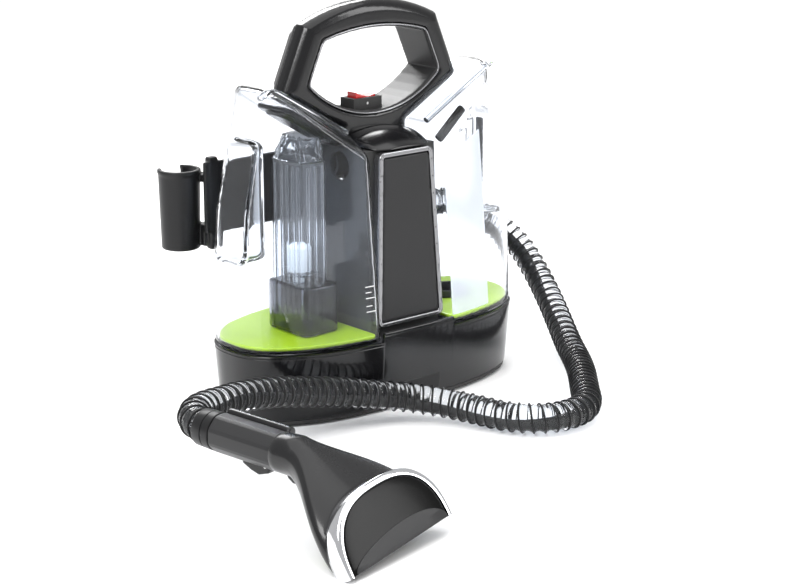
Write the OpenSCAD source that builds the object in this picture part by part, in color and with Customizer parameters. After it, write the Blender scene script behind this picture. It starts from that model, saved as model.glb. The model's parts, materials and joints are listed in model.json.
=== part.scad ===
// Portable spot extractor: a tub base, a central column with a loop handle,
// two lift-off tanks, a suction hose and a hand tool. Millimetres, +Z up,
// front is -Y, origin on the floor at the middle of the base.

/* [Base] */
// Width of the base at its rim
base_w = 318; // [310:1:326]
// Depth of the base at its rim
base_d = 147; // [144:1:152]
// Height of the base rim above the floor
base_h = 66; // [64:1:68]
// Inward draft of the base at the floor, each side
base_draft = 5; // [3:1:7]
// Roundness of the plan, 2 is an ellipse and more is squarer
plan_n = 2.5; // [2.3:0.1:2.7]
// Wall of the moulded shells
wall = 3; // [2.5:0.5:3.5]

/* [Column] */
// Width of the central column between the tanks
column_w = 80; // [78:1:80]
// Depth of the column behind the panel
column_front = 50; // [49:1:51]
// Rear face of the column
column_rear = 74; // [73:1:75]

/* [Handle] */
// Top of the grip
handle_top = 358; // [355:1:361]
// Half width of the handle at its upper corners
handle_corner_x = 76; // [74:1:78]
// Front face of the handle
handle_front_y = -13; // [-14:1:-12]
// Rear face of the handle
handle_rear_y = 30; // [29:1:31]

/* [Tanks] */
// Slope of the tank tops and of the shoulders under the handle, degrees
shoulder_slope = 30; // [29:0.5:31]
// Wall of the clear tanks
tank_wall = 2.4; // [2:0.2:2.8]
// Inner side of each tank from the middle of the machine
tank_inner_x = 42; // [42:0.5:43]

/* [Hose and tool] */
// Outside diameter of the suction hose over its spiral
hose_d = 27; // [26:0.5:28]
// Diameter of the hand grip
grip_d = 31; // [30:0.5:32]
// Width of the suction lip
lip_w = 122; // [118:1:126]

/* [Hidden] */

$fn = 48;
plan_points = 48;
gap = 0.3;
base_rx = base_w / 2;
base_ry = base_d / 2;
foot_h = 3;
plate_z = foot_h + 3;
deck_z = base_h - 3;
tank_z = base_h + 0.6;
column_x = column_w / 2;
column_top = 232;

// tank outline by height: height, half width, front depth, rear depth
tank_slices = [
    [tank_z, base_rx - 1, base_ry - 1, base_ry - 1],
    [134, base_rx - 1.5, 66, 72],
    [185, base_rx - 5, 61, 70],
    [240, base_rx - 16, 56, 66],
    [304, base_rx - 30, 50, 60]];
// where the tank top starts beside the column, and where its front bevel starts
top_start = [42, 244.5];
bevel_y = -28;
bevel_drop = 13;

// grip scoop in the outer end of each tank
scoop_z = [147, 246];
scoop_x = 132;

port_z = 135;
port_y = 104;

// the tool: origin at the middle of the lip, local -X runs back along the grip
tool_at = [-241, -324, 9.8];
tool_heading = -79;
tool_roll = 5.5;
grip_back = -198;
grip_z = 49;
grip_pitch = 2;
cuff_len = 18;
grip_len = 84;

// where the cuff starts and the way it points
cuff_at = tool_at + [grip_back * cos(tool_heading), grip_back * sin(tool_heading), grip_z];
cuff_dir = [cos(tool_heading) * cos(grip_pitch), sin(tool_heading) * cos(grip_pitch), -sin(grip_pitch)];

// hand-chosen route of the hose from the rear port to the grip cuff
hose_route = [
    [62, 104, 135], [100, 104, 136], [140, 104, 136], [176, 101, 132], [207, 90, 122],
    [229, 69, 106], [237, 42, 87], [234, 14, 65], [223, -15, 47], [208, -44, 32], [190, -74, 20],
    [170, -104, 15], [147, -132, 15], [121, -160, 15], [104, -178, 15], [89, -194, 15],
    [72, -206, 15], [51, -210, 15], [31, -206, 15], [15, -194, 15], [4, -176, 15],
    [-5, -148, 16], [-18, -120, 18], [-39, -100, 22], [-68, -89, 28], [-102, -82, 36],
    [-136, -78, 43], [-165, -77, 49], [-190, -79, 53], [-212, -83, 56], [-231, -88, 57.5],
    [-248, -92, 59], [-262, -99, 60], [-272, -108, 60], [-277.5, -118, 59.5], cuff_at];
hose_sides = 10;

// ---------------------------------------------------------------- helpers

function sgn_pow(v, p) = sign(v) * pow(abs(v), p);

// superellipse plan with its own front and rear depth
function plan(rx, front, rear) = [for (i = [0 : plan_points - 1])
    let (t = 360 * (i + 0.5) / plan_points, s = sgn_pow(sin(t), 2 / plan_n))
    [rx * sgn_pow(cos(t), 2 / plan_n), s * (s < 0 ? front : rear)]];

function arc(cx, cy, r, a0, a1, n) = [for (i = [0 : n])
    let (a = a0 + (a1 - a0) * i / n) [cx + r * cos(a), cy + r * sin(a)]];

// radius of an arc from its half chord and its height
function arc_r(half, rise) = (half * half + rise * rise) / (2 * rise);

module drafted(z0, z1, inset) {
    k0 = (z0 / base_h - 1) * base_draft - inset;
    k1 = (z1 / base_h - 1) * base_draft - inset;
    hull() {
        translate([0, 0, z0]) linear_extrude(0.01) polygon(plan(base_rx + k0, base_ry + k0, base_ry + k0));
        translate([0, 0, z1 - 0.01]) linear_extrude(0.01) polygon(plan(base_rx + k1, base_ry + k1, base_ry + k1));
    }
}

module box(lo, hi) translate(lo) cube(hi - lo);

// an outline drawn in X and Z, running from y0 back to y1
module upright(y0, y1) translate([0, y1, 0]) rotate([90, 0, 0]) linear_extrude(y1 - y0) children();

module tube(r_out, r_in, h) difference() {
    cylinder(h = h, r = r_out);
    translate([0, 0, -1]) cylinder(h = h + 2, r = r_in);
}

module screw(head_d, length) {
    translate([0, 0, -2.5]) cylinder(h = 2.5, d = head_d);
    cylinder(h = length, d = head_d * 0.45);
}

// ---------------------------------------------------------------- base

corner_x = base_rx * 0.66;
corner_y = base_ry * 0.6;
module corners() for (x = [-1, 1], y = [-1, 1]) translate([x * corner_x, y * corner_y, 0]) children();

access = [[-18, -90, 8], [26, -40, 25]];
// raised lip of the tub under the panel
tongue_x = 41.5;
tongue_z = 74.5;

module base_shell() color([0.05, 0.05, 0.06]) difference() {
    union() {
        drafted(plate_z, base_h, 0);
        intersection() {
            drafted(base_h - 2, tongue_z, 0);
            box([-tongue_x, -100, 0], [tongue_x, 0, 100]);
        }
    }
    drafted(plate_z - 1, tongue_z + 1, wall);
    box(access[0], access[1]);
    translate([-20, base_ry, 30]) rotate([90, 0, 0]) cylinder(h = 30, d = 14, center = true);
}

module base_plate() color([0.1, 0.1, 0.1]) difference() {
    drafted(foot_h, plate_z, 0.6);
    corners() translate([0, 0, foot_h - 1]) cylinder(h = 5, d = 4.4);
    for (x = [-1, 1], i = [2 : 5]) box([x * i * 9 - 2, -22, foot_h - 1], [x * i * 9 + 2, 22, plate_z + 1]);
}

// four corner feet and a middle pad
module rubber_feet() color([0.16, 0.16, 0.16]) {
    for (x = [-1, 1], y = [-1, 1]) translate([x * base_rx * 0.52, y * corner_y, 0]) cylinder(h = foot_h, d = 20);
    cylinder(h = foot_h, d = 24);
}

module base_screws() color("silver") corners() translate([0, 0, foot_h - 0.1]) {
    cylinder(h = 7, d = 4);
    translate([0, 0, -1.6]) cylinder(h = 1.6, d = 7.5);
}

// plate over the tub, with a well for the clean tank's cap and holes for the pipes
module base_deck() color([0.08, 0.08, 0.09]) {
    deck_plate();
    corners() translate([0, 0, plate_z + gap]) difference() {
        cylinder(h = deck_z - plate_z - 3, d = 9);
        translate([0, 0, -1]) cylinder(h = 12, d = 4.1);
    }
}

module deck_plate() difference() {
    drafted(deck_z - 3, deck_z, wall + 0.1);
    hull() for (x = [100, 116]) translate([x, 0, deck_z - 5]) cylinder(h = 8, d = 50);
    translate([0, 8, deck_z - 5]) cylinder(h = 8, d = 34);
    translate([28, 60, deck_z - 5]) cylinder(h = 8, d = 10);
}

module access_cover() color([0.07, 0.07, 0.07]) intersection() {
    difference() {
        drafted(plate_z, base_h, 0.6);
        drafted(plate_z - 1, base_h + 1, wall - 0.4);
    }
    box(access[0] + [gap, 0, gap], access[1] - [gap, 0, gap]);
}

// ---------------------------------------------------------------- column

hook_x = 22;
column_screw_x = 34;
hook_z = [84, 208];
bracket_x = -26;
bracket_z = [165, 200];

module column_outline() polygon([[-column_x, deck_z + gap], [column_x, deck_z + gap],
    [column_x, column_top], [-column_x, column_top]]);

// everything more than a depth behind the leaning panel's face
module behind_panel(depth) on_panel(depth, 200) translate([-60, -30]) square([120, 260]);

module column_front() color([0.07, 0.07, 0.08]) difference() {
    intersection() {
        upright(-column_front - 10, 8) column_outline();
        behind_panel(9.3);
    }
    intersection() {
        box([-column_x + wall, -column_front - 10, deck_z], [column_x - wall, 9, column_top - wall]);
        behind_panel(9.3 + wall);
    }
    translate([-column_x - 1, -10, 215]) rotate([0, 90, 0]) cylinder(h = 8, d = 26);
}

module column_rear() color([0.07, 0.07, 0.08]) difference() {
    upright(8, column_rear) column_outline();
    box([-column_x + wall, 7, deck_z], [column_x - wall, column_rear - wall, column_top - wall]);
    box([-column_x - 1, base_ry - wall - 2.5, deck_z - 1], [column_x + 1, column_rear + 1, base_h + gap]);
    for (i = [0 : 5]) box([-9, column_rear - wall - 1, 160 + i * 6], [33, column_rear + 1, 163 + i * 6]);
    translate([0, column_rear - wall - 1, port_z]) rotate([-90, 0, 0]) cylinder(h = 6, d = 24.2);
    for (z = bracket_z) translate([bracket_x, column_rear - wall - 1, z]) rotate([-90, 0, 0])
        cylinder(h = 6, d = 3.6);
    translate([hook_x, column_rear - wall - 1, hook_z[1]]) rotate([-90, 0, 0]) cylinder(h = 6, d = 6.1);
    for (z = [84, 222], x = [-column_screw_x, column_screw_x])
        translate([x, column_rear - wall - 1, z]) rotate([-90, 0, 0]) cylinder(h = 6, d = 3.4);
}

module column_screws() color("silver") for (z = [84, 222], x = [-column_screw_x, column_screw_x])
    translate([x, column_rear, z]) rotate([90, 0, 0]) {
        translate([0, 0, -2]) cylinder(h = 2, d = 7);
        cylinder(h = 10, d = 3.2);
    }

// the panel leans back and narrows towards its top
panel_low = [-39, -61.5];
panel_half = [39, 31];
panel_z = [tongue_z + 0.8, 231];
panel_lean = 2.6;

module panel_outline(inset) offset(r = 6) offset(delta = -6 - inset) polygon([
    [-panel_half[0], 0], [panel_half[0], 0],
    [panel_half[1], panel_z[1] - panel_z[0]], [-panel_half[1], panel_z[1] - panel_z[0]]]);

module on_panel(depth0, depth1) translate([0, panel_low[1], panel_z[0]])
    rotate([90 - panel_lean, 0, 0]) translate([0, 0, -depth1]) linear_extrude(depth1 - depth0) children();

module front_bezel() color([0.62, 0.62, 0.64]) difference() {
    on_panel(0, 9) panel_outline(0);
    on_panel(-1, 10) panel_outline(5.5);
}

module front_panel() color([0.2, 0.2, 0.21]) on_panel(1.2, 8) panel_outline(5.7);

// glossy saddle that joins the panel's top to the handle
module saddle_cover() color([0.05, 0.05, 0.06]) difference() {
    hull() {
        box([-panel_half[1], -52, column_top + gap], [panel_half[1], -48, column_top + 4]);
        box([-column_x + 2, -24, column_top + gap], [column_x - 2, handle_front_y - gap, column_top + 14]);
    }
    hull() {
        box([-panel_half[1] + 3, -49, column_top - 1], [panel_half[1] - 3, -46, column_top + 2]);
        box([-column_x + 5, -22, column_top - 1], [column_x - 5, handle_front_y - 3, column_top + 11]);
    }
}

// ---------------------------------------------------------------- handle

wing = [96, 246 + (96 - column_x) * tan(shoulder_slope)];
leg_foot = [101, 284];
corner_z = 341;
hole_foot = [74, 290];
hole_corner = [58, 326];
hole_top = 334;
saddle_low = 260;

module handle_outline() {
    rise = handle_top - corner_z;
    r = arc_r(handle_corner_x, rise);
    sweep = asin(handle_corner_x / r);
    offset(r = 7) offset(delta = -7) polygon(concat(
        [[-column_x, column_top + gap], [column_x, column_top + gap], [column_x, 246], wing, leg_foot],
        arc(0, handle_top - r, r, 90 - sweep, 90 + sweep, 14),
        [[-leg_foot[0], leg_foot[1]], [-wing[0], wing[1]], [-column_x, 246]]));
}

module handle_hole(grow) {
    low_rise = hole_foot[1] - saddle_low;
    r_low = arc_r(hole_foot[0], low_rise);
    low_sweep = asin(hole_foot[0] / r_low);
    top_rise = hole_top - hole_corner[1];
    r_top = arc_r(hole_corner[0], top_rise);
    top_sweep = asin(hole_corner[0] / r_top);
    offset(r = 7 + grow) offset(delta = -7) polygon(concat(
        arc(0, saddle_low + r_low, r_low, 270 - low_sweep, 270 + low_sweep, 12),
        arc(0, hole_top - r_top, r_top, 90 - top_sweep, 90 + top_sweep, 8)));
}

handle_mid_y = 5;
// the rear of the handle narrows in steps: [from y, to y, inset]
rear_steps = [[5.05, 11, 2], [11, 17, 6], [17, 23, 10], [23, handle_rear_y, 14]];
liner_t = 3;
switch_at = [0, 8, 265];

module switch_hole(x, y) translate([0, switch_at[1], 0]) box([-x, -y, 246], [x, y, 280]);

module handle_front() color([0.06, 0.06, 0.07]) difference() {
    upright(handle_front_y, handle_mid_y) difference() { handle_outline(); handle_hole(liner_t + 0.05); }
    switch_hole(16.5, 9.5);
}

module handle_rear() color([0.06, 0.06, 0.07]) difference() {
    for (s = rear_steps) upright(s[0], s[1]) difference() {
        union() {
            offset(delta = -s[2]) handle_outline();
            translate([-column_x + s[2], column_top + gap]) square([2 * (column_x - s[2]), 30]);
        }
        handle_hole(liner_t + 0.05);
    }
    switch_hole(16.5, 9.5);
}

module handle_liner() color([0.25, 0.25, 0.26]) difference() {
    upright(handle_front_y + 1, handle_rear_y - 1) difference() { handle_hole(liner_t); handle_hole(0); }
    switch_hole(16.5, 9.5);
}

module switch_frame() color([0.08, 0.08, 0.08]) difference() {
    translate([0, switch_at[1], 0]) box([-16.3, -9.3, 248], [16.3, 9.3, switch_at[2] + 5]);
    translate([0, switch_at[1], 0]) box([-12.5, -6.5, 251], [12.5, 6.5, switch_at[2] + 6]);
    translate(switch_at) rotate([90, 0, 0]) cylinder(h = 20, d = 2.7, center = true);
}

module power_switch() color([0.75, 0.05, 0.05]) translate(switch_at) difference() {
    rotate([90, 0, 0]) linear_extrude(12, center = true)
        polygon([[-11, 2], [-8, -4], [8, -4], [11, 2], [11.2, 7], [4, 5.2], [0, 5.6], [-4, 6.6], [-11, 10]]);
    rotate([90, 0, 0]) cylinder(h = 20, d = 2.7, center = true);
}

module switch_pivot() color("silver") translate(switch_at) rotate([90, 0, 0])
    cylinder(h = 18, d = 2.6, center = true);

// ---------------------------------------------------------------- motor and pump

motor_at = [0, 8, 72];

module motor_shroud() color([0.3, 0.3, 0.32]) translate(motor_at) difference() {
    cylinder(h = 74, d = 72);
    translate([0, 0, 3]) cylinder(h = 68, d = 66);
    translate([0, 0, -1]) cylinder(h = 6, d = 34);
    translate([0, 0, 70]) cylinder(h = 6, d = 26);
}

module motor_mount() color([0.15, 0.15, 0.15]) translate(motor_at) translate([0, 0, -9 + gap]) tube(28.5, 18, 9 - 2 * gap);

module motor_can() color([0.55, 0.5, 0.42]) translate(motor_at + [0, 0, 28]) difference() {
    cylinder(h = 43, d = 52);
    translate([0, 0, -1]) cylinder(h = 18, d = 8.1);
}

module fan_rotor() color([0.75, 0.75, 0.78]) translate(motor_at) {
    translate([0, 0, 6]) cylinder(h = 38, d = 8);
    translate([0, 0, 8]) cylinder(h = 2, d = 58);
    translate([0, 0, 22]) tube(29, 13, 2);
    for (a = [0 : 40 : 320]) rotate([0, 0, a]) box([12, -0.8, 9], [28, 0.8, 23]);
    translate([0, 0, 9]) cylinder(h = 15, d = 14);
}

pump_at = [70, 30, 22];

module pump_body() color([0.2, 0.22, 0.25]) translate(pump_at) difference() {
    union() {
        box([-26, -14, -12], [20, 14, 14]);
        rotate([0, 90, 0]) cylinder(h = 32, d = 18);
    }
    rotate([0, 90, 0]) translate([0, 0, -18]) cylinder(h = 60, d = 10.1);
    translate([-12, 0, 0]) cylinder(h = 20, d = 5);
}

module pump_piston() color("silver") translate(pump_at) rotate([0, 90, 0]) {
    translate([0, 0, 2]) cylinder(h = 40, d = 10);
    translate([0, 0, 42]) cylinder(h = 3, d = 16);
}

module coil(r, wire, pitch, turns) for (i = [0 : turns - 1])
    translate([0, 0, i * pitch]) rotate_extrude() translate([r, 0]) circle(d = wire, $fn = 16);

module pump_spring() color("silver") translate(pump_at + [33, 0, 0]) rotate([0, 90, 0]) coil(7, 1.2, 2.2, 4);

module valve_seat() color([0.3, 0.3, 0.32]) translate([100, 0, 0]) {
    translate([0, 0, deck_z - 14]) tube(9, 3, 5.5);
    translate([0, 0, deck_z - 20]) tube(6, 3, 6);
}

module pipe(a, b, d) {
    v = b - a;
    l = norm(v);
    translate(a) rotate([0, acos(v[2] / l), atan2(v[1], v[0])]) cylinder(h = l, d = d);
}

module solution_pipe() color([0.85, 0.88, 0.9]) {
    pipe([58, 30, 37], [58, 30, 50], 6);
    pipe([58, 30, 50], [28, 60, 50], 6);
    pipe([28, 60, 50], [28, 60, 96], 6);
    pipe([28, 60, 96], [10, 55, 96], 6);
    for (p = [[58, 30, 50], [28, 60, 50], [28, 60, 96]]) translate(p) sphere(d = 8);
}

module air_duct() color([0.2, 0.2, 0.22]) difference() {
    union() {
        translate([0, 8, 147]) cylinder(h = 68, d = 30);
        translate([-column_x + wall + gap, 8, 215]) rotate([0, 90, 0]) cylinder(h = 37, d = 26);
        translate([0, 8, 215]) sphere(d = 27);
    }
    translate([0, 8, 146]) cylinder(h = 68, d = 24);
    translate([-column_x + 1, 8, 215]) rotate([0, 90, 0]) cylinder(h = 40, d = 20);
}

// from the port forward, up inside the column and out to the dirty tank
module suction_run(d, over) {
    low = [0, 54, port_z];
    high = [0, 54, 200];
    pipe(low + [0, 14.6 + over, 0], low, d);
    pipe([0, 54, 88 - over], high, d);
    pipe(high, high + [-column_x + wall + gap - over, 0, 0], d);
    translate(high) sphere(d = d + 2);
}

module suction_pipe() color([0.2, 0.2, 0.22]) difference() {
    suction_run(18, 0);
    suction_run(14, 1);
}

module cord_inlet() color([0.1, 0.1, 0.1]) translate([-20, base_ry - wall - 3, 30]) rotate([-90, 0, 0]) {
    tube(6.9, 3.5, 6);
    translate([0, 0, 4.4]) tube(10, 3.5, 3);
}

// ---------------------------------------------------------------- rear fittings

module hook_arm() {
    rotate([-90, 0, 0]) cylinder(h = 22, d = 12);
    hull() {
        translate([0, 18, 0]) rotate([-90, 0, 0]) cylinder(h = 5, d = 12);
        translate([0, 18, 26]) rotate([-90, 0, 0]) cylinder(h = 5, d = 12);
    }
}

module cord_hook_fixed() color([0.08, 0.08, 0.08]) translate([hook_x, column_rear + gap, hook_z[0]])
    mirror([0, 0, 1]) hook_arm();

module cord_hook_swivel() color([0.08, 0.08, 0.08]) translate([hook_x, column_rear + gap, hook_z[1]]) {
    hook_arm();
    translate([0, -6, 0]) rotate([-90, 0, 0]) cylinder(h = 7, d = 6);
}

module hose_port() color([0.1, 0.1, 0.1]) difference() {
    union() {
        translate([0, column_rear - wall - 2, port_z]) rotate([-90, 0, 0]) cylinder(h = port_y - column_rear + 5, d = 23.6);
        translate([0, column_rear + gap, port_z]) rotate([-90, 0, 0]) cylinder(h = 4, d = 40);
        translate([0, port_y, port_z]) sphere(d = 32);
        translate([0, port_y, port_z]) rotate([0, 90, 0]) cylinder(h = 62, d = 32);
    }
    translate([0, column_rear - wall - 3, port_z]) rotate([-90, 0, 0]) cylinder(h = port_y - column_rear + 6, d = 18);
    translate([0, port_y, port_z]) sphere(d = 20);
    translate([0, port_y, port_z]) rotate([0, 90, 0]) cylinder(h = 56, d = 20);
}

// open cup behind the dirty tank that holds the tool
cup_at = [-133, 104];
cup_r = 19;
cup_z = [134, 207];
module tool_bracket() color([0.09, 0.09, 0.09]) difference() {
    union() {
        translate([cup_at[0], cup_at[1], cup_z[0]]) cylinder(h = cup_z[1] - cup_z[0], r1 = cup_r - 1.5, r2 = cup_r);
        box([cup_at[0] + 10, column_rear + 4, 150], [-30, column_rear + 8, 215]);
        box([-40, column_rear + gap, 150], [-12, column_rear + 8, 215]);
        box([-118, column_rear + 4, 134], [-108, column_rear + 12, 219]);
        box([-122, 84, 196], [-108, 96, 203]);
        box([-122, 84, 137], [-108, 96, 157]);
    }
    translate([cup_at[0], cup_at[1], cup_z[0] + 4]) cylinder(h = 90, r = cup_r - 3.2);
    box([cup_at[0] - 11, cup_at[1], cup_z[0] + 4], [cup_at[0] + 11, cup_at[1] + 30, 230]);
    for (z = bracket_z) translate([bracket_x, column_rear - 1, z]) rotate([-90, 0, 0]) cylinder(h = 12, d = 3.6);
}

module bracket_screws() color("silver") for (z = bracket_z) translate([bracket_x, column_rear + 8, z]) rotate([90, 0, 0]) {
    translate([0, 0, -2.2]) cylinder(h = 2.2, d = 7);
    cylinder(h = 12, d = 3.4);
}

// ---------------------------------------------------------------- tanks

module tank_form(inset) hull() for (s = tank_slices)
    translate([0, 0, s[0]]) linear_extrude(0.05)
        polygon(plan(s[1] - inset, s[2] - inset, s[3] - inset));

// room under the sloping, bevelled top, right of x0 and above z0
module tank_room(x0, z0, inset) {
    reach = 170;
    drop = inset / cos(shoulder_slope);
    intersection() {
        box([x0, -100, z0], [200, 100, 400]);
        translate([top_start[0], 0, top_start[1] - drop]) rotate([0, -shoulder_slope, 0])
            translate([-80, 0, 0]) rotate([90, 0, 90]) linear_extrude(reach + 80)
                polygon([[100, -300], [100, -8], [62, -2], [48, 0], [bevel_y, 0],
                    [bevel_y * 2 + 1, -bevel_drop], [-100, -34], [-100, -300]]);
    }
}

module scoop(inset) {
    x0 = scoop_x - inset;
    translate([0, 0, scoop_z[0] - inset]) linear_extrude(scoop_z[1] - scoop_z[0] + 2 * inset)
        polygon([[x0 + 40, -17 - inset], [x0 - 2, -13 - inset], [x0 - 2, -3], [x0 + 8, 16 + inset],
            [x0 + 40, 44 + inset]]);
}

module tank_solid(inset) difference() {
    intersection() {
        tank_form(inset);
        tank_room(tank_inner_x + inset, tank_z + inset, inset);
    }
    scoop(inset);
}

module tank_shell() difference() {
    tank_solid(0);
    tank_solid(tank_wall);
}

module floor_sheet() intersection() {
    tank_form(tank_wall + 1);
    box([tank_inner_x + tank_wall + 1, -100, tank_z + tank_wall + gap], [200, 100, tank_z + tank_wall + 3]);
}

tower = [[-98, -30], [-71, 16]];
tower_z = [tank_z + tank_wall + 3.2, 226];
float_at = [-84.5, -7];

module dirty_tank() color([0.8, 0.84, 0.9, 0.4]) mirror([1, 0, 0]) difference() {
    tank_shell();
    translate([tank_inner_x - 1, 8, 215]) rotate([0, 90, 0]) cylinder(h = 5, d = 20);
    translate([tank_inner_x - 1, 54, 200]) rotate([0, 90, 0]) cylinder(h = 5, d = 14);
}

module dirty_floor() color([0.6, 0.85, 0.1]) mirror([1, 0, 0]) floor_sheet();

module separator_tower() color([0.85, 0.88, 0.92, 0.5]) difference() {
    box([tower[0][0], tower[0][1], tower_z[0]], [tower[1][0], tower[1][1], tower_z[1]]);
    box([tower[0][0] + 1.6, tower[0][1] + 1.6, tower_z[0] - 1], [tower[1][0] - 1.6, tower[1][1] - 1.6, tower_z[1] + 1]);
    box([tower[0][0] - 1, -16, tower_z[0] - 1], [tower[1][0] + 1, 2, tower_z[0] + 14]);
}

module tower_funnel() color([0.7, 0.72, 0.75]) difference() {
    hull() {
        box([tower[0][0], tower[0][1], tower_z[1] + gap], [tower[1][0], tower[1][1], tower_z[1] + 3]);
        box([-92, -20, 244], [-66, 12, 247]);
    }
    hull() {
        box([tower[0][0] + 2, tower[0][1] + 2, tower_z[1] - 1], [tower[1][0] - 2, tower[1][1] - 2, tower_z[1] + 2]);
        box([-90, -18, 243], [-68, 10, 249]);
    }
}

module float_ring() color([0.85, 0.88, 0.92]) translate([float_at[0], float_at[1], 124]) difference() {
    box([-11.7, -21.2, 0], [11.7, 21.2, 2.2]);
    translate([0, 0, -1]) cylinder(h = 5, d = 19);
}

module tank_float() color([0.9, 0.9, 0.88]) translate([float_at[0], float_at[1], 126.4]) {
    cylinder(h = 22, d = 21);
    translate([0, 0, -12]) cylinder(h = 12, d = 8);
    translate([0, 0, 22]) cylinder(h = 3, r1 = 10.5, r2 = 6);
}

// moulded lid and duct under the dirty tank's sloping top
module along_slope(x, drop) translate([-x, 0, top_start[1] + (x - top_start[0]) * tan(shoulder_slope) - drop])
    rotate([0, shoulder_slope, 0]) children();

module dirty_lid() color([0.12, 0.12, 0.13]) difference() {
    along_slope(82, 5) box([-40, -24, -5], [26, 24, 0]);
    along_slope(82, 5) translate([10, 0, -8]) cylinder(h = 10, d = 18);
}

// pull-up catch in the finger scoop of each tank
module catch() difference() {
    box([scoop_x - 1.7, -11, 214], [scoop_x + 3, -4, 236]);
    box([scoop_x, -12, 218], [scoop_x + 4, -3, 232]);
}

module dirty_latch() color([0.15, 0.15, 0.16]) mirror([1, 0, 0]) catch();

module clean_tank() color([0.8, 0.84, 0.9, 0.4]) difference() {
    tank_shell();
    translate([100, 0, tank_z - 1]) cylinder(h = 6, d = 38);
}

module clean_floor() color([0.6, 0.85, 0.1]) difference() {
    floor_sheet();
    translate([100, 0, tank_z]) cylinder(h = 20, d = 44);
}

cap_z = tank_z - 7;
module filler_cap() color([0.12, 0.12, 0.13]) translate([100, 0, 0]) difference() {
    union() {
        translate([0, 0, cap_z]) cylinder(h = 6.7, d = 43);
        translate([0, 0, cap_z + 6]) cylinder(h = 12, d = 37.4);
    }
    translate([0, 0, cap_z + 4]) cylinder(h = 20, d = 33);
    translate([0, 0, cap_z - 1]) cylinder(h = 10, d = 8.1);
    for (a = [0 : 30 : 330]) rotate([0, 0, a]) translate([22.2, 0, cap_z - 1]) cylinder(h = 6.5, d = 3);
}

module cap_valve() color([0.85, 0.85, 0.82]) translate([100, 0, 0]) {
    translate([0, 0, cap_z - 1.5]) cylinder(h = 7, d = 8);
    translate([0, 0, cap_z + 4.3]) cylinder(h = 2.5, d = 16);
}

module clean_latch() color([0.15, 0.15, 0.16]) catch();

// ---------------------------------------------------------------- hose

function unit(v) = v / norm(v);
function at(i) = hose_route[max(0, min(len(hose_route) - 1, i))];
function heading_at(i) = i == 0 ? [1, 0, 0] : i == len(hose_route) - 1 ? cuff_dir
    : unit(at(i + 1) - at(i - 1));

module suction_hose() color([0.35, 0.35, 0.36]) {
    n = len(hose_route);
    k = hose_sides;
    rings = [for (i = [0 : n - 1])
        let (t = heading_at(i), side = unit(cross([0, 0, 1], t)), up = cross(t, side))
        for (j = [0 : k - 1]) let (a = 360 * (j + 0.5) / k)
            at(i) + hose_d / 2 * (cos(a) * side + sin(a) * up)];
    walls = [for (i = [0 : n - 2], j = [0 : k - 1]) let (m = (j + 1) % k)
        [i * k + j, (i + 1) * k + j, (i + 1) * k + m, i * k + m]];
    polyhedron(rings, concat(walls, [[for (j = [0 : k - 1]) j]],
        [[for (j = [k - 1 : -1 : 0]) (n - 1) * k + j]]), 10);
}

// ---------------------------------------------------------------- hand tool

module tool_place() translate(tool_at) rotate([0, 0, tool_heading]) children();
module grip_place() tool_place() translate([grip_back, 0, grip_z]) rotate([0, 90 + grip_pitch, 0]) children();
module head_place() tool_place() rotate([tool_roll, 0, 0]) children();

module hose_cuff() color([0.07, 0.07, 0.07]) grip_place() translate([0, 0, 0]) difference() {
    cylinder(h = cuff_len, r1 = grip_d / 2 - 0.8, r2 = grip_d / 2);
    translate([0, 0, 2]) cylinder(h = cuff_len, d = 22);
}

trigger_x = 56;
module wand_grip() color([0.1, 0.1, 0.11]) grip_place() difference() {
    translate([0, 0, cuff_len + 0.2]) cylinder(h = grip_len - cuff_len, d = grip_d);
    translate([0, 0, cuff_len - 1]) cylinder(h = grip_len, d = 21);
    box([7, -5.2, 40], [20, 5.2, 76]);
    translate([13, 0, 71]) rotate([90, 0, 0]) cylinder(h = 40, d = 2.5, center = true);
}

// solution channel along the grip's upper far side
channel_turn = 38;
module wand_channel() color([0.06, 0.06, 0.06]) grip_place() rotate([0, 0, -channel_turn]) difference() {
    translate([-grip_d / 2 - 1, 0, cuff_len + 2]) cylinder(h = grip_len - cuff_len - 4, d = 9);
    translate([0, 0, cuff_len]) cylinder(h = grip_len, d = grip_d + 0.1);
    translate([-grip_d / 2 - 1.5, 0, cuff_len]) cylinder(h = grip_len, d = 4);
}

module trigger() color([0.08, 0.08, 0.08]) grip_place() difference() {
    rotate([90, 0, 0]) linear_extrude(9.6, center = true)
        polygon([[10.8, 45], [10.8, 72], [14.5, 74.5], [19.5, 72], [23, 62], [21, 54], [17, 45]]);
    translate([13, 0, 71]) rotate([90, 0, 0]) cylinder(h = 12, d = 2.5, center = true);
}

module trigger_pin() color("silver") grip_place() translate([13, 0, 71]) rotate([90, 0, 0])
    cylinder(h = 15.4, d = 2.4, center = true);

// valve that the trigger's free end presses
module spray_valve() color([0.4, 0.4, 0.42]) grip_place() translate([0, 0, 50]) rotate([0, 90, 0]) difference() {
    translate([0, 0, -9.5]) cylinder(h = 14.5, d = 8);
    translate([0, 0, -7]) cylinder(h = 14, d = 4.1);
}

module valve_stem() color("silver") grip_place() translate([0, 0, 50]) rotate([0, 90, 0])
    translate([0, 0, -2]) cylinder(h = 12.5, d = 4);

// hollow head: a neck that flares into a D-shaped mouth over the lip
head_stations = [[-113, 16, 15.5, 49], [-78, 22, 18, 48], [-46, 46, 20, 35]];
lip_lean = 27.5;
lip_h = 54;
band_t = 13;
head_wall = 2.4;

function dome(w, h, y0) = concat([for (i = [0 : 24]) let (t = 180 * i / 24)
    [w * sgn_pow(cos(t), 0.78), y0 + (h - y0) * sgn_pow(sin(t), 0.78)]]);

module on_lip(depth0, depth1) rotate([0, -lip_lean, 0]) rotate([90, 0, 90])
    translate([0, 0, depth0]) linear_extrude(depth1 - depth0) children();

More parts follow.
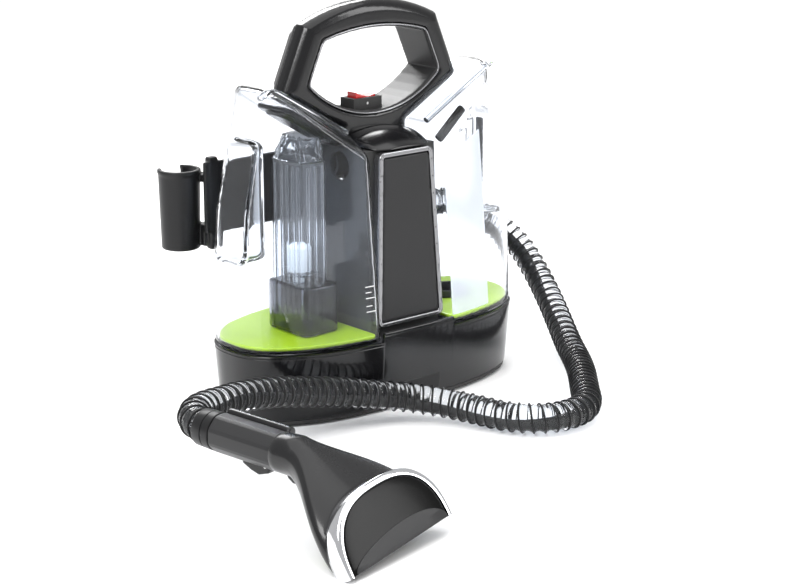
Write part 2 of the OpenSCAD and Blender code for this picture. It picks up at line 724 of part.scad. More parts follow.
module head_station(i, inset) {
    s = head_stations[i];
    translate([s[0], 0, s[3]]) rotate([90, 0, 90]) linear_extrude(0.1)
        scale([s[1] - inset, s[2] - inset]) circle(r = 1, $fn = 28);
}

module head_hull(inset, over) {
    hull() {
        translate([-over, 0, 0]) head_station(0, inset);
        head_station(1, inset);
    }
    hull() { head_station(1, inset); head_station(2, inset); }
    hull() {
        head_station(2, inset);
        on_lip(-band_t - 0.4, -band_t - 0.3 + over) polygon(dome(lip_w / 2 - inset, lip_h - inset, 8 + inset));
    }
}

// release button under the neck
button = [[-106, 36], [-104, 31], [-99, 27.5], [-94, 27.5], [-89, 31.5], [-86, 36]];
module tool_body() color([0.1, 0.1, 0.11]) head_place() {
    difference() {
        head_hull(0, 0);
        head_hull(head_wall, 1);
    }
    upright(-6, 6) polygon(button);
}

module tool_band() color([0.75, 0.75, 0.77]) head_place() on_lip(-band_t, 0) difference() {
    polygon(dome(lip_w / 2, lip_h, 0));
    polygon(dome(lip_w / 2 - 4.5, lip_h - 5, -0.5));
}

module tool_window() color([0.7, 0.72, 0.75]) head_place() on_lip(-4.5, -2) polygon(dome(lip_w / 2 - 4.8, lip_h - 5.3, 0));

module tool_brush() color([0.6, 0.85, 0.1]) head_place() for (i = [-5 : 5])
    translate([-36, i * 8, -4]) cylinder(h = 12, d = 5);

base_shell();
base_plate();
rubber_feet();
base_screws();
base_deck();
access_cover();
column_front();
column_rear();
column_screws();
front_bezel();
front_panel();
saddle_cover();
handle_front();
handle_rear();
handle_liner();
switch_frame();
power_switch();
switch_pivot();
motor_shroud();
motor_can();
motor_mount();
fan_rotor();
pump_body();
pump_piston();
pump_spring();
valve_seat();
solution_pipe();
air_duct();
suction_pipe();
cord_inlet();
cord_hook_fixed();
cord_hook_swivel();
hose_port();
tool_bracket();
bracket_screws();
dirty_tank();
dirty_floor();
separator_tower();
tower_funnel();
float_ring();
tank_float();
dirty_lid();
dirty_latch();
clean_tank();
clean_floor();
filler_cap();
cap_valve();
clean_latch();
suction_hose();
hose_cuff();
wand_grip();
wand_channel();
trigger();
trigger_pin();
spray_valve();
valve_stem();
tool_body();
tool_band();
tool_window();
tool_brush();
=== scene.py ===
import json
import math

import bmesh
import bpy
import numpy as np
import openvdb
from mathutils import Matrix, Vector
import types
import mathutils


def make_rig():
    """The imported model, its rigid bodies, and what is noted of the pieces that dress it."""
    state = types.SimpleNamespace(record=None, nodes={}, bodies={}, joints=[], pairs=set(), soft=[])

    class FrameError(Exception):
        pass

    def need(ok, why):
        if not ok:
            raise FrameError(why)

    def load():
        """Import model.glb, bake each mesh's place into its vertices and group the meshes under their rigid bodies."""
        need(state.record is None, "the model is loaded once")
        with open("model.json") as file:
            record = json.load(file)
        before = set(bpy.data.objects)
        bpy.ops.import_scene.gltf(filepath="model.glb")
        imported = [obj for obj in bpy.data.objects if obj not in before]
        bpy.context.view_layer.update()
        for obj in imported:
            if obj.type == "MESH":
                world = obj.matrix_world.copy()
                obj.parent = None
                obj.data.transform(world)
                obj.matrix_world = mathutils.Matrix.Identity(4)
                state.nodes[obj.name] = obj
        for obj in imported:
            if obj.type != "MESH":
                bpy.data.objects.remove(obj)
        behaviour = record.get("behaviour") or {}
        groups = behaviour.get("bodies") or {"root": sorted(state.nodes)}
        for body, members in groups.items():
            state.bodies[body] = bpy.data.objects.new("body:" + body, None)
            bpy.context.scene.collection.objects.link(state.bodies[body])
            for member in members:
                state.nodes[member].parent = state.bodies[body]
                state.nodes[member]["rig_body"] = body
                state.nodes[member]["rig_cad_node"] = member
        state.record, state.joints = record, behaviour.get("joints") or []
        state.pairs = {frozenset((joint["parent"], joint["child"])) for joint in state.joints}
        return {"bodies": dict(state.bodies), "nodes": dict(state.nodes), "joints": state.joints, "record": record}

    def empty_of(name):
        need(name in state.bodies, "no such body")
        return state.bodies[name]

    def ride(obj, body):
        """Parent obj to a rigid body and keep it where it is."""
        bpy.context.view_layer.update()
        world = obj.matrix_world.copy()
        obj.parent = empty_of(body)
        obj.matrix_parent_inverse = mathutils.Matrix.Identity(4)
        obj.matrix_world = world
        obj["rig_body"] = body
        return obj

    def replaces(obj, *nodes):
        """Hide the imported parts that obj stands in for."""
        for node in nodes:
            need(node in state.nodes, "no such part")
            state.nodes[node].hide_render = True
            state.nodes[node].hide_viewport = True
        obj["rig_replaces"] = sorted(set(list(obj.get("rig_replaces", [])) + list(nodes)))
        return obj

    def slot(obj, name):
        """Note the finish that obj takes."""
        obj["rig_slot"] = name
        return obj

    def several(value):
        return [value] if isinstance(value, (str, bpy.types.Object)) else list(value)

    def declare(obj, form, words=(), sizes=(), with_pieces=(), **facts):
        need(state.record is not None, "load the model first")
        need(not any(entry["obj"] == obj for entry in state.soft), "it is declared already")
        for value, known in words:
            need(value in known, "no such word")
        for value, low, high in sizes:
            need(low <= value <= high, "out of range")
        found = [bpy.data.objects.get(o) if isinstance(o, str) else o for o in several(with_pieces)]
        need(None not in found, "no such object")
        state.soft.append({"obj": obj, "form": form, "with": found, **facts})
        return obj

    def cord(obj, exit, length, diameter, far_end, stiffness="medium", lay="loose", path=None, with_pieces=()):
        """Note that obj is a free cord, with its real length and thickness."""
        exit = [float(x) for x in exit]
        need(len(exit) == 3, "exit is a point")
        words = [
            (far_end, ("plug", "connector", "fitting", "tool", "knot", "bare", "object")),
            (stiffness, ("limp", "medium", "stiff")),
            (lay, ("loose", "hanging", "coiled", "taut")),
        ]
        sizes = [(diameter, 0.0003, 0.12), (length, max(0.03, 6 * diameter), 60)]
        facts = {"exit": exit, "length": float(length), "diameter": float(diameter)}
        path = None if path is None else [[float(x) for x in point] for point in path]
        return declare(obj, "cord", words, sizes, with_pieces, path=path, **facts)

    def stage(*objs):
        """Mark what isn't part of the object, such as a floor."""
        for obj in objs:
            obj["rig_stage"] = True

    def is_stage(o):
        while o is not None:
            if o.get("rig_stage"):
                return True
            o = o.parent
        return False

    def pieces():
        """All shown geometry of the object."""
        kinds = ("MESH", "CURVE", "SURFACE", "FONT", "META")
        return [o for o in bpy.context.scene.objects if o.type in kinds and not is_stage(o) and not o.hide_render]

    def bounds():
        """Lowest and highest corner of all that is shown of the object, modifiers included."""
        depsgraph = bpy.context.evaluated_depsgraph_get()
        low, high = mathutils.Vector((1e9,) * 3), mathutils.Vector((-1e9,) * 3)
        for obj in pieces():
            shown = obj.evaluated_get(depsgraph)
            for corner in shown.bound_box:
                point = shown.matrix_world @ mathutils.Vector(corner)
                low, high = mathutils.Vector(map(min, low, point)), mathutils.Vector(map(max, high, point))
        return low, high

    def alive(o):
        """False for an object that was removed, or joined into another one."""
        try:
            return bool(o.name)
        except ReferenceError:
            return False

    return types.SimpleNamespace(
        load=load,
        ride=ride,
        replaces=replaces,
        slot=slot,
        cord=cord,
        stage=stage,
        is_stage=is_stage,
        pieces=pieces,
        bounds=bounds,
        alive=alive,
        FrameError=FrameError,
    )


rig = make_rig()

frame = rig.load()
cad_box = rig.bounds()

MM = 0.001          # shapes are worked out in millimetres and made in metres


def new_object(name, data):
    """An object in the scene that shows the data."""
    obj = bpy.data.objects.new(name, data)
    bpy.context.scene.collection.objects.link(obj)
    return obj


def set_inputs(node, **values):
    """Sets the node's inputs, with _ for a space in their names."""
    for key, value in values.items():
        node.inputs[key.replace("_", " ")].default_value = value


def feed(tree, node, **sources):
    """Links sources to the node's inputs, with _ for a space in their names."""
    for key, source in sources.items():
        tree.links.new(source, node.inputs[key.replace("_", " ")])


def circle(count):
    """Evenly spaced angles around a full turn."""
    return np.linspace(0, 2 * math.pi, count, endpoint=False)


def level(xy, z):
    """A ring of plan points lifted to height z."""
    return np.column_stack([xy, np.full(len(xy), z)])


# ---- camera

CAMERA_AT = Vector((-1.097, -1.293, 0.5586))
CAMERA_AIM = Vector((0.0128, -0.0208, 0.0904))


def make_camera():
    data = bpy.data.cameras.new("camera")
    data.lens, data.sensor_width = 87.85, 36.0
    camera = new_object("camera", data)
    camera.location = CAMERA_AT
    camera.rotation_euler = (CAMERA_AIM - CAMERA_AT).to_track_quat("-Z", "Y").to_euler()
    bpy.context.scene.camera = camera


make_camera()

# ---- materials


def new_group(name, inputs, outputs):
    """An empty shader node group with float inputs, and a vector first."""
    tree = bpy.data.node_groups.new(name, "ShaderNodeTree")
    tree.interface.new_socket("Vector", in_out="INPUT", socket_type="NodeSocketVector")
    for key in inputs:
        tree.interface.new_socket(key, in_out="INPUT", socket_type="NodeSocketFloat")
    for key in outputs:
        tree.interface.new_socket(key, in_out="OUTPUT", socket_type="NodeSocketFloat")
    return tree, tree.nodes.new("NodeGroupInput"), tree.nodes.new("NodeGroupOutput")


def math_node(tree, operation, a, b, c=None):
    node = tree.nodes.new("ShaderNodeMath")
    node.operation = operation
    for socket, value in zip(node.inputs, (a, b, c)):
        if value is None:
            continue
        if isinstance(value, (int, float)):
            socket.default_value = value
        else:
            tree.links.new(value, socket)
    return node.outputs[0]


def noise(tree, vector, scale, detail=3.0):
    node = tree.nodes.new("ShaderNodeTexNoise")
    node.inputs["Detail"].default_value = detail
    tree.links.new(vector, node.inputs["Vector"])
    if isinstance(scale, (int, float)):
        node.inputs["Scale"].default_value = scale
    else:
        tree.links.new(scale, node.inputs["Scale"])
    return node.outputs["Fac"]


def varied_gloss(tree, given, pattern):
    """Roughness that swings by Spread around Gloss, as the pattern goes from 0 to 1."""
    swing = math_node(tree, "MULTIPLY_ADD", pattern, 2.0, -1.0)
    return math_node(tree, "MULTIPLY_ADD", swing, given.outputs["Spread"], given.outputs["Gloss"])


def build_moulded():
    """Moulded plastic: fine grain for the height, handling marks in gloss and tone."""
    tree, given, out = new_group("moulded", ("Grain", "Gloss", "Spread"), ("Height", "Roughness", "Tone"))
    vector = given.outputs["Vector"]
    grain = noise(tree, vector, given.outputs["Grain"], 2.0)
    marks = noise(tree, vector, 14.0, 5.0)
    rough = math_node(tree, "MULTIPLY_ADD", grain, 0.04, varied_gloss(tree, given, marks))
    feed(tree, out, Height=grain, Roughness=rough, Tone=marks)
    return tree


def build_scratches():
    """Fine hairlines along one direction, for metal and brushed paint."""
    tree, given, out = new_group("hairlines", ("Stretch", "Gloss", "Spread"), ("Height", "Roughness"))
    split = tree.nodes.new("ShaderNodeSeparateXYZ")
    join = tree.nodes.new("ShaderNodeCombineXYZ")
    tree.links.new(given.outputs["Vector"], split.inputs[0])
    x, y = (math_node(tree, "MULTIPLY", split.outputs[key], given.outputs["Stretch"]) for key in "XY")
    feed(tree, join, X=x, Y=y, Z=split.outputs["Z"])
    lines = noise(tree, join.outputs[0], 30.0, 4.0)
    feed(tree, out, Height=lines, Roughness=varied_gloss(tree, given, lines))
    return tree


MOULDED = build_moulded()
HAIRLINES = build_scratches()


RELIEF_DEPTH = 0.0002


def shader(name, group, first, gloss, spread, dark, light, bump=0.1, metal=0.0, coat=0.0, sheen=0.3):
    """A Principled material that takes its grain, gloss and tone from a node group."""
    m = bpy.data.materials.new(name)
    m.use_nodes = True
    tree = m.node_tree
    p = tree.nodes["Principled BSDF"]
    where = tree.nodes.new("ShaderNodeTexCoord")
    look = tree.nodes.new("ShaderNodeGroup")
    look.node_tree = group
    tree.links.new(where.outputs["Object"], look.inputs["Vector"])
    look.inputs[1].default_value = first
    set_inputs(look, Gloss=gloss, Spread=spread)
    colour = tree.nodes.new("ShaderNodeMix")
    colour.data_type = "RGBA"
    set_inputs(colour, A=(*dark, 1.0), B=(*light, 1.0))
    feed(tree, colour, Factor=look.outputs["Tone" if group is MOULDED else "Height"])
    relief = tree.nodes.new("ShaderNodeBump")
    set_inputs(relief, Strength=bump, Distance=RELIEF_DEPTH)
    feed(tree, relief, Height=look.outputs["Height"])
    feed(tree, p, Base_Color=colour.outputs["Result"], Roughness=look.outputs["Roughness"],
         Normal=relief.outputs["Normal"])
    set_inputs(p, Metallic=metal, Specular_IOR_Level=sheen, Coat_Weight=coat, Coat_Roughness=0.06)
    return m


def clear(name, tint, gloss, ior, through=1.0):
    """Clear moulded plastic, which lets the light of the lamps through to what it holds."""
    m = shader(name, MOULDED, 260.0, gloss, 0.02, tint, tuple(0.96 * c for c in tint), bump=0.04)
    tree = m.node_tree
    p = tree.nodes["Principled BSDF"]
    set_inputs(p, Transmission_Weight=through, IOR=ior)
    path = tree.nodes.new("ShaderNodeLightPath")
    shade = tree.nodes.new("ShaderNodeBsdfTransparent")
    set_inputs(shade, Color=(*tint, 1.0))
    mix = tree.nodes.new("ShaderNodeMixShader")
    tree.links.new(path.outputs["Is Shadow Ray"], mix.inputs["Fac"])
    tree.links.new(p.outputs[0], mix.inputs[1])
    tree.links.new(shade.outputs[0], mix.inputs[2])
    tree.links.new(mix.outputs[0], tree.nodes["Material Output"].inputs["Surface"])
    return m


GLOSS_BLACK = shader("gloss_black", MOULDED, 900.0, 0.16, 0.05,
                     (0.003, 0.003, 0.0035), (0.006, 0.006, 0.007), 0.05, coat=0.25)
DEEP_BLACK = shader("deep_black", MOULDED, 900.0, 0.13, 0.03,
                    (0.002, 0.002, 0.002), (0.004, 0.004, 0.004), 0.03, sheen=0.12)
SATIN_BLACK = shader("satin_black", MOULDED, 1500.0, 0.34, 0.07,
                     (0.006, 0.006, 0.0065), (0.012, 0.012, 0.013), 0.25)
SATIN_GLOSS = shader("satin_gloss_black", MOULDED, 1100.0, 0.24, 0.06,
                     (0.006, 0.006, 0.0065), (0.012, 0.012, 0.013), 0.12, coat=0.2)
CHARCOAL = shader("charcoal", MOULDED, 2200.0, 0.3, 0.05, (0.02, 0.02, 0.021), (0.03, 0.03, 0.031), 0.3)
PANEL_GREY = shader("panel_grey", MOULDED, 2600.0, 0.34, 0.04,
                    (0.014, 0.014, 0.015), (0.022, 0.022, 0.023), 0.3)
SILVER = shader("brushed_silver", HAIRLINES, 26.0, 0.2, 0.08, (0.2, 0.2, 0.21), (0.34, 0.34, 0.35), metal=0.9)
CHROME = shader("chrome", HAIRLINES, 8.0, 0.07, 0.04, (0.7, 0.71, 0.73), (0.82, 0.83, 0.85), 0.03, metal=1.0)
STEEL = shader("zinc_steel", HAIRLINES, 14.0, 0.3, 0.12, (0.45, 0.45, 0.46), (0.6, 0.6, 0.6), 0.2, metal=1.0)
RUBBER = shader("rubber", MOULDED, 1200.0, 0.75, 0.08, (0.012, 0.012, 0.012), (0.02, 0.02, 0.02), 0.5)
LIME = shader("lime", MOULDED, 420.0, 0.34, 0.06, (0.2, 0.34, 0.004), (0.36, 0.54, 0.012), 1.2, coat=0.4)
BRISTLE = shader("bristle", MOULDED, 800.0, 0.45, 0.05, (0.3, 0.5, 0.02), (0.55, 0.75, 0.06), 0.3)
RED = shader("switch_red", MOULDED, 900.0, 0.2, 0.05, (0.42, 0.003, 0.004), (0.6, 0.008, 0.008), 0.08,
             coat=0.5)
WHITE = shader("natural_white", MOULDED, 1000.0, 0.4, 0.05, (0.66, 0.66, 0.62), (0.78, 0.78, 0.74), 0.2)
MARKS = shader("mark_white", MOULDED, 1000.0, 0.35, 0.03, (0.75, 0.75, 0.75), (0.82, 0.82, 0.82), 0.05)
LACQUER = shader("motor_lacquer", MOULDED, 700.0, 0.4, 0.08, (0.2, 0.17, 0.13), (0.28, 0.24, 0.19), 0.3,
                 metal=0.6)
CLEAR_TANK = clear("clear_tank", (0.93, 0.95, 0.985), 0.03, 1.3)
CLEAR_PART = clear("clear_part", (0.9, 0.93, 0.97), 0.05, 1.4)
SMOKE = clear("smoked_clear", (0.42, 0.43, 0.46), 0.06, 1.35)
FROSTED = clear("frosted_clear", (0.9, 0.92, 0.94), 0.45, 1.45)
HAZE = clear("hazy_clear", (0.9, 0.91, 0.93), 0.3, 1.15, through=0.55)
CLEAR_HOSE = clear("clear_hose", (0.8, 0.82, 0.85), 0.06, 1.35)

# ---- making meshes


def add_mesh(name, points, faces, material, smooth=True):
    """A piece from points in millimetres."""
    mesh = bpy.data.meshes.new(name)
    mesh.from_pydata((np.asarray(points, float) * MM).tolist(), [], [list(map(int, f)) for f in faces])
    mesh.update()
    mesh.materials.append(material)
    mesh.polygons.foreach_set("use_smooth", [smooth] * len(mesh.polygons))
    return new_object(name, mesh)


def settle(obj, body, slot, replaces=()):
    """Makes the piece ride a body with a slot of the record, in the place of CAD nodes."""
    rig.ride(obj, body)
    if replaces:
        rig.replaces(obj, *replaces)
    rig.slot(obj, slot)


def tidy(obj, angle=40.0):
    """Merges doubles, turns faces outwards and keeps edges sharper than the angle crisp."""
    bm = bmesh.new()
    bm.from_mesh(obj.data)
    bmesh.ops.remove_doubles(bm, verts=bm.verts, dist=1e-6)
    bmesh.ops.recalc_face_normals(bm, faces=bm.faces)
    bm.to_mesh(obj.data)
    bm.free()
    obj.data.set_sharp_from_angle(angle=math.radians(angle))
    return obj


def loft(rings, closed_ring=True, caps=True):
    """Points and faces of a skin over rings that all have the same number of points."""
    rings = np.asarray(rings, float)
    count, around = rings.shape[:2]
    faces = []
    for i in range(count - 1):
        for j in range(around if closed_ring else around - 1):
            k = (j + 1) % around
            faces.append((i * around + j, i * around + k, (i + 1) * around + k, (i + 1) * around + j))
    points = rings.reshape(-1, 3)
    if caps:
        ends = [rings[0].mean(0), rings[-1].mean(0)]
        points = np.vstack([points, ends])
        low, high = count * around, count * around + 1
        for j in range(around):
            k = (j + 1) % around
            faces.append((low, k, j))
            faces.append((high, (count - 1) * around + j, (count - 1) * around + k))
    return points, faces


def make_loft(name, rings, material, caps=True, closed_ring=True, angle=40.0):
    return tidy(add_mesh(name, *loft(rings, closed_ring, caps), material), angle)


def blend(u, u0, u1, a, b):
    """Straight mix that is a at u0 and b at u1."""
    return (u1 - u) / (u1 - u0) * a + (u - u0) / (u1 - u0) * b


def smooth_path(points, step):
    """A centripetal spline through the points, with its own points a step apart."""
    p = np.asarray(points, float)
    p = np.vstack([2 * p[0] - p[1], p, 2 * p[-1] - p[-2]])
    t = np.concatenate([[0], np.cumsum(np.linalg.norm(np.diff(p, axis=0), axis=1) ** 0.5)])
    dense = []
    for i in range(1, len(p) - 2):
        u = np.linspace(t[i], t[i + 1], 40, endpoint=False)[:, None]
        a1, a2, a3 = (blend(u, t[k], t[k + 1], p[k], p[k + 1]) for k in (i - 1, i, i + 1))
        b1 = blend(u, t[i - 1], t[i + 1], a1, a2)
        b2 = blend(u, t[i], t[i + 2], a2, a3)
        dense.append(blend(u, t[i], t[i + 1], b1, b2))
    dense = np.vstack([*dense, p[-2:-1]])
    run = np.concatenate([[0], np.cumsum(np.linalg.norm(np.diff(dense, axis=0), axis=1))])
    at = np.linspace(0, run[-1], int(run[-1] / step) + 1)
    return np.stack([np.interp(at, run, dense[:, k]) for k in range(3)], 1), at


def unit(v):
    return v / np.linalg.norm(v, axis=-1, keepdims=True)


def carried_frames(path, side=(0, 0, 1)):
    """Two directions across a path that turn no more than they must along it."""
    along = unit(np.gradient(path, axis=0))
    across = [unit(np.cross(np.array(side, float), along[0]))]
    for t in along[1:]:
        v = across[-1] - np.dot(across[-1], t) * t
        across.append(unit(v))
    across = np.array(across)
    return along, across, np.cross(along, across)


def tube_rings(path, radii, sides, side=(0, 0, 1)):
    """Round rings across a path, with one radius or one for each of its points."""
    _, across, up = carried_frames(path, side)
    a = circle(sides)
    ring = np.cos(a)[None, :, None] * across[:, None] + np.sin(a)[None, :, None] * up[:, None]
    return path[:, None] + np.asarray(radii, float).reshape(-1, 1, 1) * ring


# ---- geometry node trees


def node_tree(name, inputs):
    tree = bpy.data.node_groups.new(name, "GeometryNodeTree")
    tree.is_modifier = True
    tree.interface.new_socket("Geometry", in_out="INPUT", socket_type="NodeSocketGeometry")
    sockets = {}
    for key, kind in inputs:
        sockets[key] = tree.interface.new_socket(key, in_out="INPUT", socket_type=kind).identifier
    tree.interface.new_socket("Geometry", in_out="OUTPUT", socket_type="NodeSocketGeometry")
    return tree, tree.nodes.new("NodeGroupInput"), tree.nodes.new("NodeGroupOutput"), sockets


def build_copies():
    """Copies of one small piece on the host's points, each turned and scaled a little at random."""
    tree, given, out, sockets = node_tree("copies_on_points", [
        ("Piece", "NodeSocketObject"), ("Lean", "NodeSocketFloat"), ("Vary", "NodeSocketFloat"),
        ("Seed", "NodeSocketInt"), ("Finish", "NodeSocketMaterial")])
    new, link = tree.nodes.new, tree.links.new
    info = new("GeometryNodeObjectInfo")
    feed(tree, info, Object=given.outputs["Piece"])
    turn = new("FunctionNodeRandomValue")
    turn.data_type = "FLOAT_VECTOR"
    feed(tree, turn, Min=math_node(tree, "MULTIPLY", given.outputs["Lean"], -1.0),
         Max=given.outputs["Lean"], Seed=given.outputs["Seed"])
    grow = new("FunctionNodeRandomValue")
    grow.data_type = "FLOAT"
    link(math_node(tree, "SUBTRACT", 1.0, given.outputs["Vary"]), grow.inputs[2])
    grow.inputs[3].default_value = 1.0
    feed(tree, grow, Seed=given.outputs["Seed"])
    copies = new("GeometryNodeInstanceOnPoints")
    feed(tree, copies, Points=given.outputs["Geometry"], Instance=info.outputs["Geometry"],
         Rotation=turn.outputs[0], Scale=grow.outputs[1])
    real = new("GeometryNodeRealizeInstances")
    finish = new("GeometryNodeSetMaterial")
    link(copies.outputs[0], real.inputs[0])
    feed(tree, finish, Geometry=real.outputs[0], Material=given.outputs["Finish"])
    link(finish.outputs[0], out.inputs[0])
    return tree, sockets


def build_wire():
    """A round wire along the host's edges."""
    tree, given, out, sockets = node_tree("wire_along_path", [
        ("Radius", "NodeSocketFloat"), ("Sides", "NodeSocketInt"), ("Finish", "NodeSocketMaterial")])
    new = tree.nodes.new
    curve = new("GeometryNodeMeshToCurve")
    section = new("GeometryNodeCurvePrimitiveCircle")
    sweep = new("GeometryNodeCurveToMesh")
    sweep.inputs["Fill Caps"].default_value = True
    smooth = new("GeometryNodeSetShadeSmooth")
    finish = new("GeometryNodeSetMaterial")
    feed(tree, curve, Mesh=given.outputs["Geometry"])
    feed(tree, section, Radius=given.outputs["Radius"], Resolution=given.outputs["Sides"])
    feed(tree, sweep, Curve=curve.outputs[0], Profile_Curve=section.outputs[0])
    feed(tree, smooth, Geometry=sweep.outputs[0])
    feed(tree, finish, Geometry=smooth.outputs[0], Material=given.outputs["Finish"])
    tree.links.new(finish.outputs[0], out.inputs[0])
    return tree, sockets


COPIES = build_copies()
WIRE = build_wire()


def grow(name, host, tree_and_sockets, values):
    """Runs a geometry node tree on the host and keeps its result as a plain mesh."""
    tree, sockets = tree_and_sockets
    modifier = host.modifiers.new("grow", "NODES")
    modifier.node_group = tree
    for key, value in values.items():
        modifier[sockets[key]] = value
    host.update_tag()
    graph = bpy.context.evaluated_depsgraph_get()
    graph.update()
    mesh = bpy.data.meshes.new_from_object(host.evaluated_get(graph), depsgraph=graph)
    host.modifiers.remove(modifier)
    mesh.name = name
    bpy.data.objects.remove(host)
    return new_object(name, mesh)


def host_of(points, edges=()):
    """Bare points and edges for a geometry node tree to work on."""
    mesh = bpy.data.meshes.new("host")
    mesh.from_pydata((np.asarray(points, float) * MM).tolist(), list(edges), [])
    return new_object("host", mesh)


def wire(name, path, radius, material, sides=10):
    host = host_of(path, [(i, i + 1) for i in range(len(path) - 1)])
    return grow(name, host, WIRE, {"Radius": radius * MM, "Sides": sides, "Finish": material})


def copies(name, points, piece, material, lean=0.0, vary=0.0, seed=1):
    made = grow(name, host_of(points), COPIES, {
        "Piece": piece, "Lean": lean, "Vary": vary, "Seed": seed, "Finish": material})
    bpy.data.objects.remove(piece)
    return made


# ---- rounded solids from distance fields


def both(a, b, r=0.0):
    """Where both shapes are, its edge rounded to radius r."""
    if r <= 0:
        return np.maximum(a, b)
    return np.minimum(np.maximum(a, b), -r) + np.hypot(np.maximum(a + r, 0), np.maximum(b + r, 0))


def either(a, b, r=0.0):
    return -both(-a, -b, r)


def cut(a, b, r=0.0):
    return both(a, -b, r)


def slab(v, low, high):
    return np.maximum(low - v, v - high)


def outline_distance(x, y, outline):
    """Signed distance in the plane to a closed outline, negative inside."""
    outline = np.asarray(outline, np.float32)
    best = np.full(np.broadcast(x, y).shape, 1e9, np.float32)
    inside = np.zeros(best.shape, bool)
    for a, b in zip(outline, np.roll(outline, -1, 0)):
        e, w0, w1 = b - a, x - a[0], y - a[1]
        t = np.clip((w0 * e[0] + w1 * e[1]) / max(float(e @ e), 1e-9), 0, 1)
        best = np.minimum(best, (w0 - t * e[0]) ** 2 + (w1 - t * e[1]) ** 2)
        if a[1] != b[1]:
            crosses = (a[1] > y) != (b[1] > y)
            inside ^= crosses & (x < a[0] + (y - a[1]) * e[0] / e[1])
    return np.where(inside, -1, 1) * np.sqrt(best)


def lattice(low, high, step):
    axes = [np.arange(a, b + step, step, dtype=np.float32) for a, b in zip(low, high)]
    return np.meshgrid(*axes, indexing="ij")


def field_mesh(field, low, step):
    """Points and quads of the surface where a field is zero."""
    band = 3.0 * step
    grid = openvdb.FloatGrid(background=band)
    grid.copyFromArray(np.clip(field, -band, band).astype(np.float32))
    points, quads = grid.convertToQuads(isovalue=0.0)
    return points * step + np.asarray(low, float), quads


def solid(name, low, high, step, field, material, inner=None):
    """A piece whose skin is where field(X, Y, Z) is zero, hollowed by inner if it is given."""
    x, y, z = lattice(low, high, step)
    points, quads = field_mesh(field(x, y, z), low, step)
    if inner is not None:
        more, back = field_mesh(inner(x, y, z), low, step)
        quads = np.vstack([quads, back[:, ::-1] + len(points)])
        points = np.vstack([points, more])
    return add_mesh(name, points, quads, material)


# ---- hose

PORT_Z = 135.0
PORT_Y = 104.0
TOOL_AT = np.array([-241.0, -324.0, 9.8])
TOOL_HEADING = math.radians(-79)
GRIP_BACK, GRIP_Z, GRIP_PITCH = -198.0, 49.0, math.radians(2)
CUFF_AT = TOOL_AT + [GRIP_BACK * math.cos(TOOL_HEADING), GRIP_BACK * math.sin(TOOL_HEADING), GRIP_Z]
HOSE_ROUTE = [
    (62, 104, 135), (100, 104, 136), (140, 104, 136), (176, 101, 132), (207, 90, 122),
    (229, 69, 106), (237, 42, 87), (234, 14, 65), (223, -15, 47), (208, -44, 32), (190, -74, 20),
    (170, -104, 15), (147, -132, 15), (121, -160, 15), (104, -178, 15), (89, -194, 15),
    (72, -206, 15), (51, -210, 15), (31, -206, 15), (15, -194, 15), (4, -176, 15),
    (-5, -148, 16), (-18, -120, 18), (-39, -100, 22), (-68, -89, 28), (-102, -82, 36),
    (-136, -78, 43), (-165, -77, 49), (-190, -79, 53), (-212, -83, 56), (-231, -88, 57.5),
    (-248, -92, 59), (-262, -99, 60), (-272, -108, 60), (-277.5, -118, 59.5), tuple(CUFF_AT)]
HOSE_R = 13.5
SPIRAL_PITCH = 9.2
SPIRAL_WIRE = 1.0


def make_hose():
    path, run = smooth_path(HOSE_ROUTE, SPIRAL_PITCH / 6)
    turn = 2 * math.pi * run / SPIRAL_PITCH
    tube = make_loft("suction_hose_wall", tube_rings(path, HOSE_R - 1.9 + 0.75 * np.cos(turn), 28),
                     CLEAR_HOSE, caps=False, angle=180)
    fine, run = smooth_path(HOSE_ROUTE, SPIRAL_PITCH / 26)
    _, across, up = carried_frames(fine)
    turn = 2 * math.pi * run / SPIRAL_PITCH
    coil = fine + (HOSE_R - SPIRAL_WIRE) * (np.cos(turn)[:, None] * across + np.sin(turn)[:, None] * up)
    spiral = wire("hose_spiral", coil, SPIRAL_WIRE, SATIN_BLACK, 7)
    drift = np.stack([2.2 * np.sin(run / 41.0), -5.0 + 1.4 * np.sin(run / 27.0)], 1)
    flat = unit(np.cross(carried_frames(fine)[0], (0, 0, 1.0)))
    inside = fine + drift[:, :1] * flat + drift[:, 1:] * np.cross(flat, carried_frames(fine)[0])
    line = make_loft("hose_solution_line", tube_rings(inside[::26], 3.9, 14), RUBBER)
    for piece in (tube, spiral, line):
        settle(piece, "machine", "hose")
    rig.replaces(tube, "suction_hose")
    return tube, spiral, line, path, run[-1]


hose_wall, hose_spiral, hose_line, hose_path, hose_length = make_hose()
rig.cord(hose_wall, exit=tuple(np.array(HOSE_ROUTE[0]) * MM), length=float(round(hose_length * MM, 2)),
        diameter=2 * HOSE_R * MM, far_end="tool", stiffness="stiff", lay="loose",
        path=[tuple(p * MM) for p in hose_path], with_pieces=[hose_spiral, hose_line, "hose_cuff"])


# ---- base tub

BASE_RX, BASE_RY, BASE_H, DRAFT, PLAN_N = 159.0, 73.5, 66.0, 5.0, 2.5
TONGUE_X, TONGUE_Z = 41.5, 74.5


def signed_power(v, p):
    return np.sign(v) * np.abs(v) ** p


def plan_ring(rx, front, rear, turns):
    """The machine's plan outline, squarer than an ellipse, at the given angles."""
    x = rx * signed_power(np.cos(turns), 2 / PLAN_N)
    s = signed_power(np.sin(turns), 2 / PLAN_N)
    return np.stack([x, s * np.where(s < 0, front, rear)], 1)


def front_of(x, rx, front):
    """How far the plan outline's front lies at each x."""
    return -front * (1 - (np.abs(x) / rx) ** PLAN_N) ** (1 / PLAN_N)


